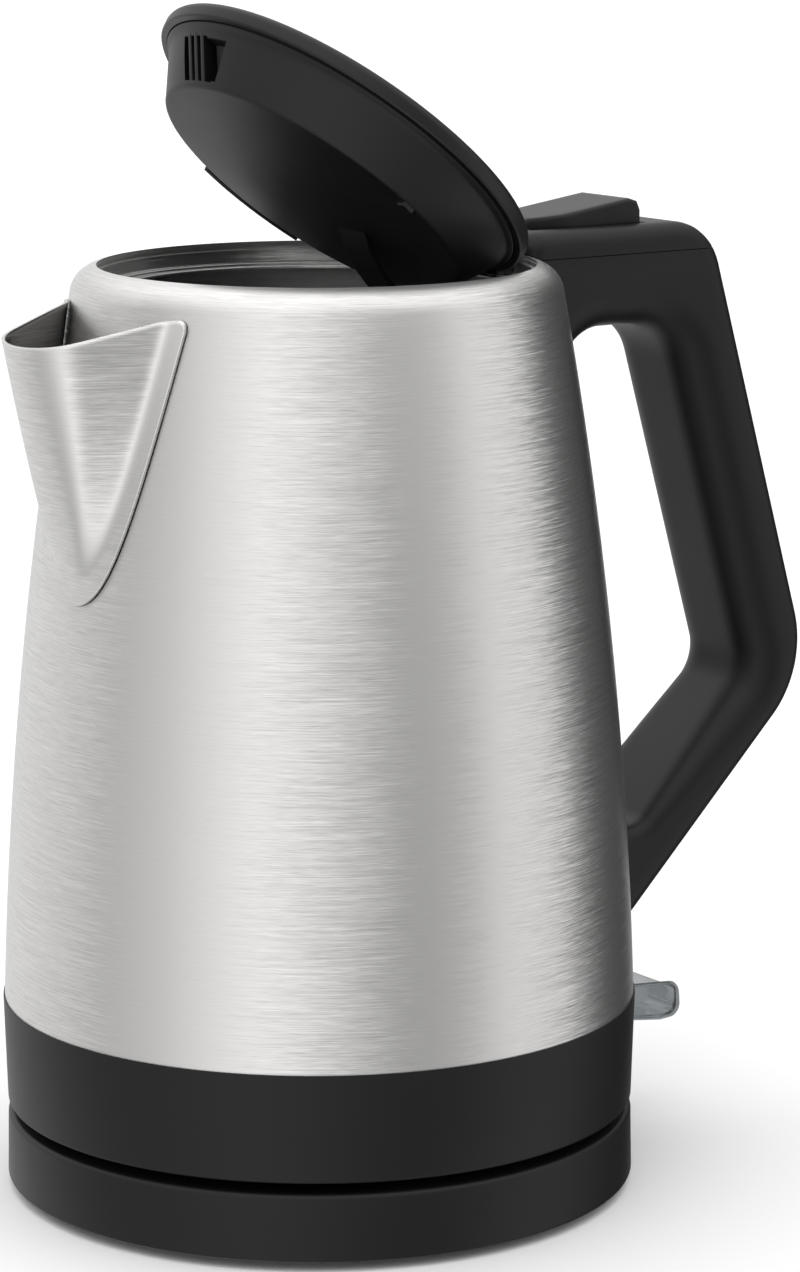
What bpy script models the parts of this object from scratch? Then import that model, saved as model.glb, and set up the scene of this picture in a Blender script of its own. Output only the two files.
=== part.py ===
"""Cordless electric kettle: a round power base and a steel jug with lid, spout and handle.

Units are metres, +Z is up and the feet stand on z = 0. The spout points along -X and the
handle along +X. Every solid is built about the jug's axis, which is shifted along X so that
the origin lies under the middle of the whole kettle.
"""
import math

import bmesh
import bpy
from mathutils import Matrix, Vector

# ---- driving sizes ----------------------------------------------------------------------
GAP = 0.0003                 # clearance between two pieces that touch
FOOT_HEIGHT = 0.0023         # rubber feet below the base's lower edge

BASE_RADIUS = 0.0775
BASE_HEIGHT = 0.0164
BASE_WALL = 0.0024
SHADOW_GAP = 0.0025          # dark gap between base and jug

COLLAR_RADIUS = 0.0774       # at the collar's lower edge
COLLAR_FLARE = 0.0006        # how much wider its top edge is
COLLAR_HEIGHT = 0.0264
COLLAR_WALL = 0.0022

BODY_RADIUS = 0.07765        # steel wall where it meets the collar
BODY_LEAN = 0.0318           # inward lean of the wall per metre of height
BODY_CURVE = 0.43            # inward curvature of the wall, per metre
BODY_HEIGHT = 0.1792         # collar's top to rim
BODY_WALL = 0.0008
SHOULDER_RADIUS = 0.0073     # rounding between the wall and the rim
OPENING_RADIUS = 0.0521
RIM_DEPTH = 0.0052           # rim down to the ledge that the lid rests on
LEDGE_STEP = 0.0019          # width of each of the ledge's two steps
LEDGE_DROP = 0.0007

SPOUT_TIP = 0.0835           # tip's distance from the axis
SPOUT_TOP_BELOW_RIM = 0.0081
SPOUT_HEIGHT = 0.0677        # top edge to the flange's lowest point
SPOUT_HALF_WIDTH = 0.0289    # flange's half width at its top edge
SPOUT_FLANGE_POWER = 0.34    # that width grows with this power of the height
SPOUT_CORNER = 0.0026        # rounding of the flange's top corners
SPOUT_LIP_SLOPE = 0.24       # the lip falls towards the tip
SPOUT_LIP_OUT = 0.0575       # distance from the axis at which the lip has its stated height
SPOUT_FLANGE_SHARE = 0.70    # share of the surface's width that makes the beak
SPOUT_KEEL_RISE = 0.0060     # beak leaves the wall this far above the flange's lowest point
SPOUT_WALL = 0.0008
BEAK_HALF_WIDTH = 0.0233     # at the root of the beak, along the wall, at the lip
BEAK_FOOT_SHARE = 0.3        # least half width of the beak's surface over the flange's
NOSE_LENGTH = 0.36           # share of the beak's length that its rounded nose takes
NOSE_POWER = 2.6
NOSE_SIDES = 0.44            # share of the beak's width that its straight sides add

HANDLE_WIDTH = 0.033
HANDLE_TOP_ABOVE_RIM = 0.0055
HANDLE_BEND_OUT = 0.1404     # outermost point of the handle
HANDLE_BEND_UP = 0.1193      # height of the bend's centre above the base's lower edge
HANDLE_ROUND = 0.0042        # rounding of the handle's long edges
TOP_COVER_HEIGHT = 0.0083
CORNER_RADIUS = 0.015        # handle's upper rear corner
BEND_RADIUS = 0.028          # outside of the bend below the grip
HOLE_RADIUS = 0.009          # inside of that bend
ARCH_RADIUS = 0.014          # top corners of the finger hole
ARCH_BELOW_RIM = 0.0200      # rim down to the top of the finger hole
FILLET_RADIUS = 0.008        # lower arm into the wall
GRIP_LEAN = math.radians(16.3)
GRIP_THICKNESS = 0.0180
ARM_THICKNESS = 0.0148

LID_RADIUS = 0.0511
LID_TOP_BELOW_RIM = 0.0005
LID_COVER_HEIGHT = 0.0043
LID_PLUG_DEPTH = 0.0177
LID_PLUG_RADIUS = 0.0415     # at the plug's bottom
LID_FLANGE_RADIUS = 0.0498
LID_WALL = 0.0018
LID_OPEN_ANGLE = math.radians(39.6)
HINGE_OUT = 0.048            # pin's distance from the jug's axis
HINGE_ABOVE_RIM = 0.0020
HINGE_PIN_RADIUS = 0.0010

BUTTON_LENGTH = 0.0335
BUTTON_HALF_WIDTH = 0.0105
BUTTON_START = 0.0565
BUTTON_RISE = 0.0062         # rear end above the handle's top
BUTTON_SLOPE = 0.0040        # how much lower the front end is
BUTTON_PIVOT_OUT = 0.0670
BUTTON_PIN_RADIUS = 0.0010
BUTTON_SWING_ROOM = 0.0012   # the rear end moves back a little as it is pressed

LEVER_REACH = 0.1030
LEVER_WIDTH = 0.024
LEVER_THICK = 0.0062
LEVER_DROP = 0.0066          # underside of the lever's end below its pivot
LEVER_PIVOT_OUT = 0.0690
LEVER_PIVOT_UP = 0.0120      # above the collar's lower edge

CONNECTOR_RADIUS = 0.0175    # power post in the middle of the base
CONNECTOR_HEIGHT = 0.0300
CONTROL_RADIUS = 0.0237

WIDE_STEPS = 48              # facets round the large round pieces
MIDDLE_STEPS = 24            # facets round the connector
SMALL_STEPS = 16             # facets round the small ones

# ---- places worked out from them ---------------------------------------------------------
AXIS_X = (SPOUT_TIP - HANDLE_BEND_OUT) / 2
BASE_Z = FOOT_HEIGHT
BASE_TOP = BASE_Z + BASE_HEIGHT
COLLAR_Z = BASE_TOP + SHADOW_GAP
COLLAR_TOP = COLLAR_Z + COLLAR_HEIGHT
RIM_Z = COLLAR_TOP + BODY_HEIGHT
LEDGE_Z = RIM_Z - RIM_DEPTH
HANDLE_TOP = RIM_Z + HANDLE_TOP_ABOVE_RIM
COVER_SPLIT = HANDLE_TOP - TOP_COVER_HEIGHT
SPOUT_TOP = RIM_Z - SPOUT_TOP_BELOW_RIM
SPOUT_FOOT = SPOUT_TOP - SPOUT_HEIGHT
LID_TOP = RIM_Z - LID_TOP_BELOW_RIM
HINGE_Z = RIM_Z + HINGE_ABOVE_RIM
PLATE_Z = COLLAR_TOP + 0.0012
ARCH_TOP = RIM_Z - ARCH_BELOW_RIM
POCKET_FLOOR = COVER_SPLIT - 0.009
BUTTON_PIVOT_Z = COVER_SPLIT - 0.0028
BUTTON_PIN_LENGTH = 2 * BUTTON_HALF_WIDTH + 0.005
SOCKET_ROOF = BASE_Z + CONNECTOR_HEIGHT + 0.0018


# ---- scene and materials -----------------------------------------------------------------
def clear_scene():
    for thing in list(bpy.data.objects):
        bpy.data.objects.remove(thing, do_unlink=True)


def make_material(name, colour, roughness, metallic=0.0, alpha=1.0):
    material = bpy.data.materials.new(name)
    material.use_nodes = True
    shader = material.node_tree.nodes["Principled BSDF"]
    shader.inputs["Base Color"].default_value = (*colour, 1.0)
    shader.inputs["Roughness"].default_value = roughness
    shader.inputs["Metallic"].default_value = metallic
    shader.inputs["Alpha"].default_value = alpha
    return material


# ---- modelling helpers -------------------------------------------------------------------
def finish_mesh(name, mesh, material, smooth):
    for polygon in mesh.polygons:
        polygon.use_smooth = smooth
    thing = bpy.data.objects.new(name, mesh)
    bpy.context.scene.collection.objects.link(thing)
    thing.data.materials.append(material)
    thing.parent = jug_axis
    return thing


def from_bmesh(name, work, material, smooth=True):
    bmesh.ops.recalc_face_normals(work, faces=work.faces)
    mesh = bpy.data.meshes.new(name)
    work.to_mesh(mesh)
    work.free()
    return finish_mesh(name, mesh, material, smooth)


def lathe(name, outline, material, steps=WIDE_STEPS, closed=True, sweep=math.tau, start=0.0):
    """Spin an outline of (radius, height) points about Z.

    A closed outline makes a ring; an open one starts and ends on the axis.
    """
    work = bmesh.new()
    turn = Matrix.Rotation(start, 4, "Z")
    rim = [work.verts.new(turn @ Vector((r, 0.0, z))) for r, z in outline]
    edges = [work.edges.new(pair) for pair in zip(rim, rim[1:])]
    if closed:
        edges.append(work.edges.new((rim[-1], rim[0])))
    full = abs(sweep - math.tau) < 1e-6
    if not full:
        work.faces.new(rim)
    bmesh.ops.spin(work, geom=rim + edges, cent=(0, 0, 0), axis=(0, 0, 1), angle=sweep,
                   steps=steps, use_merge=full)
    bmesh.ops.remove_doubles(work, verts=work.verts, dist=1e-7)
    if not full:
        bmesh.ops.holes_fill(work, edges=[e for e in work.edges if e.is_boundary])
    return from_bmesh(name, work, material)


def prism(name, outline, low, high, material, rounding=0.0, axis="Y", smooth=False):
    """Extrude an outline of (x, z) points along Y, or of (y, z) points along X."""
    work = bmesh.new()
    if axis == "Y":
        ring = [work.verts.new((a, low, b)) for a, b in outline]
        step = Vector((0, high - low, 0))
    else:
        ring = [work.verts.new((low, a, b)) for a, b in outline]
        step = Vector((high - low, 0, 0))
    face = work.faces.new(ring)
    grown = bmesh.ops.extrude_face_region(work, geom=[face])
    moved = [v for v in grown["geom"] if isinstance(v, bmesh.types.BMVert)]
    bmesh.ops.translate(work, verts=moved, vec=step)
    bmesh.ops.recalc_face_normals(work, faces=work.faces)
    if rounding:
        caps = [f for f in work.faces if len(f.verts) == len(ring)]
        rims = [e for f in caps for e in f.edges]
        bmesh.ops.bevel(work, geom=rims, offset=rounding, segments=3, profile=0.5,
                        affect="EDGES")
    return from_bmesh(name, work, material, smooth)


def block(name, low, high, material, rounding=0.0):
    """A box between two corners, with its edges rounded."""
    work = bmesh.new()
    bmesh.ops.create_cube(work, size=1.0)
    size = Vector(high) - Vector(low)
    middle = (Vector(high) + Vector(low)) / 2
    bmesh.ops.scale(work, vec=size, verts=work.verts)
    bmesh.ops.translate(work, vec=middle, verts=work.verts)
    if rounding:
        bmesh.ops.bevel(work, geom=list(work.edges), offset=rounding, segments=2, profile=0.5,
                        affect="EDGES")
    return from_bmesh(name, work, material, smooth=False)


def rod(name, middle, radius, length, material, axis="Z", steps=SMALL_STEPS):
    work = bmesh.new()
    turn = {"Z": Matrix.Identity(4), "Y": Matrix.Rotation(math.pi / 2, 4, "X"),
            "X": Matrix.Rotation(math.pi / 2, 4, "Y")}[axis]
    bmesh.ops.create_cone(work, cap_ends=True, segments=steps, radius1=radius, radius2=radius,
                          depth=length, matrix=Matrix.Translation(middle) @ turn)
    return from_bmesh(name, work, material)


def tube_outline(inner, outer, low, high):
    return [(inner, low), (outer, low), (outer, high), (inner, high)]


def arc(centre, radius, start, end, count):
    """Points on a circle in the outline's plane, from one angle to another in degrees."""
    angles = [math.radians(start + (end - start) * i / count) for i in range(count + 1)]
    return [(centre[0] + radius * math.cos(a), centre[1] + radius * math.sin(a))
            for a in angles]


def join_into(keeper, others):
    """Put several separate tool shapes into one mesh."""
    work = bmesh.new()
    for thing in [keeper] + others:
        work.from_mesh(thing.data)
    work.to_mesh(keeper.data)
    work.free()
    for thing in others:
        bpy.data.objects.remove(thing, do_unlink=True)
    return keeper


def combine(target, tool, operation="DIFFERENCE"):
    change = target.modifiers.new(tool.name, "BOOLEAN")
    change.operation = operation
    change.solver = "EXACT"
    change.object = tool
    tool.hide_render = True
    tool.display_type = "WIRE"


def wire(name, points, radius, material, sides=2):
    """A bent round wire or tube through the given points."""
    curve = bpy.data.curves.new(name, "CURVE")
    curve.dimensions = "3D"
    curve.bevel_depth = radius
    curve.bevel_resolution = sides
    curve.use_fill_caps = True
    line = curve.splines.new("POLY")
    line.points.add(len(points) - 1)
    for slot, place in zip(line.points, points):
        slot.co = (*place, 1.0)
    thing = bpy.data.objects.new(name, curve)
    bpy.context.scene.collection.objects.link(thing)
    thing.data.materials.append(material)
    thing.parent = jug_axis
    return thing


def coil(centre, axis, radius, pitch, turns, per_turn=8):
    """Points of a helix about an axis parallel to Y or Z."""
    places = []
    for i in range(turns * per_turn + 1):
        angle = math.tau * i / per_turn
        along = pitch * (i / per_turn - turns / 2)
        a, b = radius * math.cos(angle), radius * math.sin(angle)
        offset = (a, along, b) if axis == "Y" else (a, b, along)
        places.append(tuple(c + o for c, o in zip(centre, offset)))
    return places


# ---- shapes that several pieces share ----------------------------------------------------
def wall_radius(z):
    """Outside radius of the steel wall at a height."""
    up = z - COLLAR_TOP
    return BODY_RADIUS - BODY_LEAN * up - BODY_CURVE * up * up


def shoulder_arc(grow):
    """The rounded shoulder, from the wall to the top of the rim, grown by an offset."""
    middle_z = RIM_Z - SHOULDER_RADIUS
    slope = BODY_LEAN + 2 * BODY_CURVE * (middle_z - COLLAR_TOP)
    tilt = math.atan(slope)
    start_z = middle_z + SHOULDER_RADIUS * math.sin(tilt)
    centre = (wall_radius(start_z) - SHOULDER_RADIUS * math.cos(tilt), middle_z)
    return centre, arc(centre, SHOULDER_RADIUS + grow, math.degrees(tilt), 90, 5), start_z


def wall_line(low, high, grow, count=14):
    return [(wall_radius(low + (high - low) * i / count) + grow,
             low + (high - low) * i / count) for i in range(count + 1)]


def body_tool(name, material):
    """A solid copy of the steel body and the collar's lip, grown by the touching gap."""
    _, curve, start_z = shoulder_arc(GAP)
    lip = COLLAR_RADIUS + COLLAR_FLARE + GAP
    outline = [(0.0, COLLAR_Z), (lip, COLLAR_Z), (lip, COLLAR_TOP + GAP)]
    outline += wall_line(COLLAR_TOP + GAP, start_z, GAP, 10)[:-1] + curve
    outline.append((0.0, RIM_Z + GAP))
    return lathe(name, outline, material, closed=False)


# ---- the power base ----------------------------------------------------------------------
def build_base():
    plastic = make_material("base_plastic", (0.022, 0.022, 0.024), 0.45)
    rubber = make_material("foot_rubber", (0.012, 0.012, 0.012), 0.9)
    screw_steel = make_material("screw_steel", (0.45, 0.45, 0.46), 0.35, 1.0)
    copper = make_material("contact_brass", (0.72, 0.55, 0.28), 0.3, 1.0)
    housing = make_material("connector_plastic", (0.03, 0.03, 0.032), 0.55)

    edge = 0.0022
    top_inner = CONNECTOR_RADIUS + GAP
    shell = lathe("base_top_shell", [
        (BASE_RADIUS, BASE_Z), (BASE_RADIUS - 0.0003, BASE_TOP - edge),
        *arc((BASE_RADIUS - 0.0003 - edge, BASE_TOP - edge), edge, 15, 90, 4),
        (top_inner, BASE_TOP), (top_inner, BASE_TOP - BASE_WALL),
        (BASE_RADIUS - BASE_WALL - 0.0003, BASE_TOP - BASE_WALL),
        (BASE_RADIUS - BASE_WALL, BASE_Z)], plastic)

    cover_low = BASE_Z + GAP
    cover_high = cover_low + 0.002
    screw_ring = 0.050
    posts = []
    for i in range(3):
        angle = math.radians(60 + 120 * i)
        place = (screw_ring * math.cos(angle), screw_ring * math.sin(angle))
        post_low = cover_high + GAP
        post_high = BASE_TOP - BASE_WALL / 2
        posts.append(rod(f"post_tool_{i}", (*place, (post_low + post_high) / 2), 0.0034,
                         post_high - post_low, plastic))
    combine(shell, join_into(posts[0], posts[1:]), "UNION")

    cover = lathe("base_bottom_cover", [
        (0.0, cover_low), (BASE_RADIUS - BASE_WALL - GAP, cover_low),
        (BASE_RADIUS - BASE_WALL - GAP, cover_high), (0.0, cover_high)], plastic, closed=False)
    holes = []
    pilots = []
    for i in range(3):
        angle = math.radians(60 + 120 * i)
        x, y = screw_ring * math.cos(angle), screw_ring * math.sin(angle)
        head_low = cover_low + 0.0002
        screw = lathe(f"base_screw_{i + 1}", [
            (0.0, head_low), (0.0026, head_low), (0.0026, head_low + 0.001),
            (0.0013, head_low + 0.001), (0.0013, head_low + 0.0085), (0.0, head_low + 0.0092)],
            screw_steel, steps=12, closed=False)
        screw.location = (x, y, 0)
        holes.append(rod(f"screw_hole_tool_{i}", (x, y, cover_low), 0.0016, 0.012, plastic))
        holes.append(rod(f"head_hole_tool_{i}", (x, y, head_low - 0.001), 0.0029,
                         2 * (0.001 + 0.001 + GAP), plastic))
        pilots.append(rod(f"pilot_tool_{i}", (x, y, cover_low), 0.0016, 0.022, plastic))
        foot_angle = math.radians(120 * i)
        foot = block(f"base_foot_{i + 1}", (-0.004, -0.0053, 0.0),
                     (0.004, 0.0053, FOOT_HEIGHT), rubber, 0.0008)
        foot.location = (0.0675 * math.cos(foot_angle), 0.0675 * math.sin(foot_angle), 0)
        foot.rotation_euler = (0, 0, foot_angle)
    for tool in holes:
        combine(cover, tool)
    combine(shell, join_into(pilots[0], pilots[1:]))

    post_top = BASE_Z + CONNECTOR_HEIGHT
    post_low = cover_high + GAP
    floor = post_low + 0.009
    lathe("base_connector", [
        (0.0034, post_low), (CONNECTOR_RADIUS, post_low), (CONNECTOR_RADIUS, post_top - 0.001),
        (CONNECTOR_RADIUS - 0.001, post_top), (0.0152, post_top), (0.0152, floor),
        (0.0124, floor), (0.0124, post_top), (0.0098, post_top), (0.0098, floor),
        (0.0066, floor), (0.0066, post_top), (0.0034, post_top)], housing, steps=MIDDLE_STEPS)
    ring_top = post_top - 0.004
    lathe("base_ring_outer", tube_outline(0.0143, 0.0149, floor + GAP, ring_top), copper,
          steps=MIDDLE_STEPS)
    lathe("base_ring_inner", tube_outline(0.0088, 0.0095, floor + GAP, ring_top), copper,
          steps=MIDDLE_STEPS)
    rod("base_earth_contact", (0, 0, post_low + 0.0025), 0.0030, 0.004, copper)

    gland_angle = math.radians(100)
    gland_z = BASE_Z + 0.0078
    gland = lathe("base_cord_gland", [
        (0.0026, -0.006), (0.0052, -0.006), (0.0052, -0.0035), (0.0038, -0.0035),
        (0.0038, GAP), (0.0048, GAP), (0.0046, 0.0011), (0.0026, 0.0011)], rubber,
        steps=SMALL_STEPS)
    gland.rotation_euler = (0, math.pi / 2, gland_angle)
    reach = BASE_RADIUS + GAP
    gland.location = (reach * math.cos(gland_angle), reach * math.sin(gland_angle), gland_z)
    gland_hole = rod("gland_hole_tool", (0, 0, 0), 0.0038 + GAP, 0.02, plastic)
    gland_hole.rotation_euler = gland.rotation_euler
    gland_hole.location = gland.location
    combine(shell, gland_hole)


# ---- the jug's foot: collar, control and heater ------------------------------------------
def build_jug_foot():
    plastic = make_material("collar_plastic", (0.024, 0.024, 0.026), 0.42)
    housing = make_material("control_plastic", (0.16, 0.16, 0.17), 0.6)
    copper = make_material("jug_contact_brass", (0.72, 0.55, 0.28), 0.3, 1.0)
    screw_steel = make_material("jug_screw_steel", (0.45, 0.45, 0.46), 0.35, 1.0)
    plate_steel = make_material("plate_steel", (0.50, 0.50, 0.51), 0.28, 1.0)
    aluminium = make_material("diffuser_aluminium", (0.75, 0.75, 0.76), 0.4, 1.0)
    element_steel = make_material("element_steel", (0.30, 0.30, 0.31), 0.45, 1.0)
    silicone = make_material("seal_silicone", (0.55, 0.56, 0.55), 0.7)
    bimetal = make_material("bimetal", (0.60, 0.52, 0.40), 0.35, 1.0)

    lip = COLLAR_RADIUS + COLLAR_FLARE
    seat = wall_radius(COLLAR_TOP) + GAP
    tuck = 0.0018
    collar = lathe("jug_collar", [
        (COLLAR_RADIUS - 0.0008, COLLAR_Z), (COLLAR_RADIUS, COLLAR_Z + 0.0008),
        (lip, COLLAR_TOP - 0.0004), (lip - 0.0002, COLLAR_TOP), (seat, COLLAR_TOP),
        (seat, COLLAR_TOP - tuck), (COLLAR_RADIUS - COLLAR_WALL, COLLAR_TOP - tuck - 0.001),
        (COLLAR_RADIUS - COLLAR_WALL, COLLAR_Z)], plastic)
    lever_z = COLLAR_Z + LEVER_PIVOT_UP
    slot = block("lever_slot_tool",
                 (LEVER_PIVOT_OUT + 0.003, -LEVER_WIDTH / 2 - 0.0006, lever_z - 0.0105),
                 (COLLAR_RADIUS + 0.01, LEVER_WIDTH / 2 + 0.0006, lever_z + 0.0055), plastic)
    combine(collar, slot)

    under_low = COLLAR_Z + 0.0003
    under_high = under_low + 0.002
    cover = lathe("jug_underside_cover", tube_outline(
        CONTROL_RADIUS + GAP, COLLAR_RADIUS - COLLAR_WALL - GAP, under_low, under_high),
        plastic)
    holes = []
    for i in range(3):
        angle = math.radians(30 + 120 * i)
        x, y = 0.062 * math.cos(angle), 0.062 * math.sin(angle)
        screw = lathe(f"jug_screw_{i + 1}", [
            (0.0, under_low - 0.0004), (0.0024, under_low), (0.0024, under_low + 0.0008),
            (0.0012, under_low + 0.0012), (0.0012, under_low + 0.009),
            (0.0, under_low + 0.0098)], screw_steel, steps=12, closed=False)
        screw.location = (x, y, 0)
        holes.append(rod(f"jug_hole_tool_{i}", (x, y, under_low), 0.0027, 0.012, plastic))
    combine(cover, join_into(holes[0], holes[1:]))

    roof_top = SOCKET_ROOF + 0.0025
    mouth = CONNECTOR_RADIUS + 0.0007
    lathe("jug_control", [
        (0.0, SOCKET_ROOF), (mouth, SOCKET_ROOF), (mouth, under_low + 0.001),
        (mouth + 0.001, under_low), (CONTROL_RADIUS, under_low), (CONTROL_RADIUS, roof_top),
        (0.0, roof_top)], housing, steps=MIDDLE_STEPS, closed=False)
    hang = SOCKET_ROOF - GAP
    floor = BASE_Z + 0.014
    lathe("jug_contact_outer", tube_outline(0.0129, 0.0136, floor, hang), copper, steps=MIDDLE_STEPS)
    lathe("jug_contact_inner", tube_outline(0.0070, 0.0078, floor, hang), copper, steps=MIDDLE_STEPS)
    rod("jug_earth_pin", (0, 0, (hang + BASE_Z + 0.0085) / 2), 0.0025,
        hang - BASE_Z - 0.0085, copper)
    rod("bimetal_disc", (0.010, 0.0, roof_top + 0.0010), 0.0075, 0.0006, bimetal)

    rim = wall_radius(PLATE_Z) - BODY_WALL - GAP
    lathe("heater_plate", [
        (0.0, PLATE_Z), (rim - 0.001, PLATE_Z), (rim - 0.0002, PLATE_Z + 0.0008),
        (wall_radius(PLATE_Z + 0.006) - BODY_WALL - GAP, PLATE_Z + 0.006),
        (wall_radius(PLATE_Z + 0.006) - BODY_WALL - GAP - 0.0009, PLATE_Z + 0.006),
        (rim - 0.0022, PLATE_Z + 0.001), (0.0, PLATE_Z + 0.001)], plate_steel, closed=False)
    diffuser_top = PLATE_Z - GAP
    rod("heat_diffuser", (0, 0, diffuser_top - 0.00125), 0.056, 0.0025, aluminium, steps=48)
    element_z = diffuser_top - 0.0025 - GAP - 0.0032
    bend = [(0.040 * math.cos(math.radians(a)), 0.040 * math.sin(math.radians(a)), element_z)
            for a in range(40, 321, 10)]
    wire("heating_element", bend, 0.0032, element_steel, sides=2)
    seal_top = COLLAR_TOP - tuck - 0.0012
    lathe("body_seal", tube_outline(0.0715, COLLAR_RADIUS - COLLAR_WALL - GAP - 0.0012,
                                    seal_top - 0.0016, seal_top), silicone)


# ---- the steel jug: wall, spout, filter ---------------------------------------------------
def spout_half_width(up):
    """Flange half width, along the wall, at a height above its lowest point: a power law."""
    return SPOUT_HALF_WIDTH * (max(up, 0.0) / SPOUT_HEIGHT) ** SPOUT_FLANGE_POWER


def beak_half_width(up):
    """Half width of the beak's root, along the wall, at a height above the flange's foot."""
    share = (up - SPOUT_KEEL_RISE) / (SPOUT_HEIGHT - SPOUT_KEEL_RISE)
    return BEAK_HALF_WIDTH * max(share, 0.0) ** SPOUT_FLANGE_POWER


def beak_depth(up):
    """How far the nose stands out of the wall: it grows straight up to the tip."""
    tip_up = SPOUT_TOP - SPOUT_LIP_SLOPE * (SPOUT_TIP - SPOUT_LIP_OUT) - SPOUT_FOOT
    at_tip = SPOUT_TIP - SPOUT_WALL - wall_radius(SPOUT_FOOT + tip_up) - GAP
    return at_tip * max(up - SPOUT_KEEL_RISE, 0.0) / (tip_up - SPOUT_KEEL_RISE)


def spout_place(across, share_up):
    """Inner face of the spout. across runs from -1 to 1 over the flange, with the beak inside
    SPOUT_FLANGE_SHARE, and share_up from the foot, 0, to the lip, 1. A section of the beak is
    a blunt nose, an ellipse-like curve, which runs out into two straight sides."""
    side = abs(across)
    lip = SPOUT_TOP
    for _ in range(6):
        up = share_up * (lip - SPOUT_FOOT)
        radius = wall_radius(SPOUT_FOOT + up) + GAP
        flange = spout_half_width(up)
        beak = max(beak_half_width(up), BEAK_FOOT_SHARE * flange)
        if side <= SPOUT_FLANGE_SHARE:
            back = (side / SPOUT_FLANGE_SHARE) ** 2
            round_part = 1 - (1 - min(back / NOSE_LENGTH, 1.0)) ** NOSE_POWER
            share = (1 - NOSE_SIDES) * math.sqrt(round_part) + NOSE_SIDES * back
            root_out = radius * math.cos(beak / radius)
            wide = radius * math.sin(beak / radius) * share
            nose = radius + beak_depth(up)
            out = nose - (nose - root_out) * back
            if beak_depth(up) <= 0.0:
                out = math.sqrt(radius * radius - wide * wide)
            drop = 0.0
        else:
            share = (side - SPOUT_FLANGE_SHARE) / (1 - SPOUT_FLANGE_SHARE)
            arc_place = beak + (flange - beak) * share
            out = radius * math.cos(arc_place / radius)
            wide = radius * math.sin(arc_place / radius)
            near = min(max(SPOUT_CORNER - (flange - arc_place), 0.0), SPOUT_CORNER)
            drop = SPOUT_CORNER - math.sqrt(SPOUT_CORNER ** 2 - near ** 2)
        lip = SPOUT_TOP - SPOUT_LIP_SLOPE * (out - SPOUT_LIP_OUT) - drop
    return Vector((-out, math.copysign(wide, across), SPOUT_FOOT + up))


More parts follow.
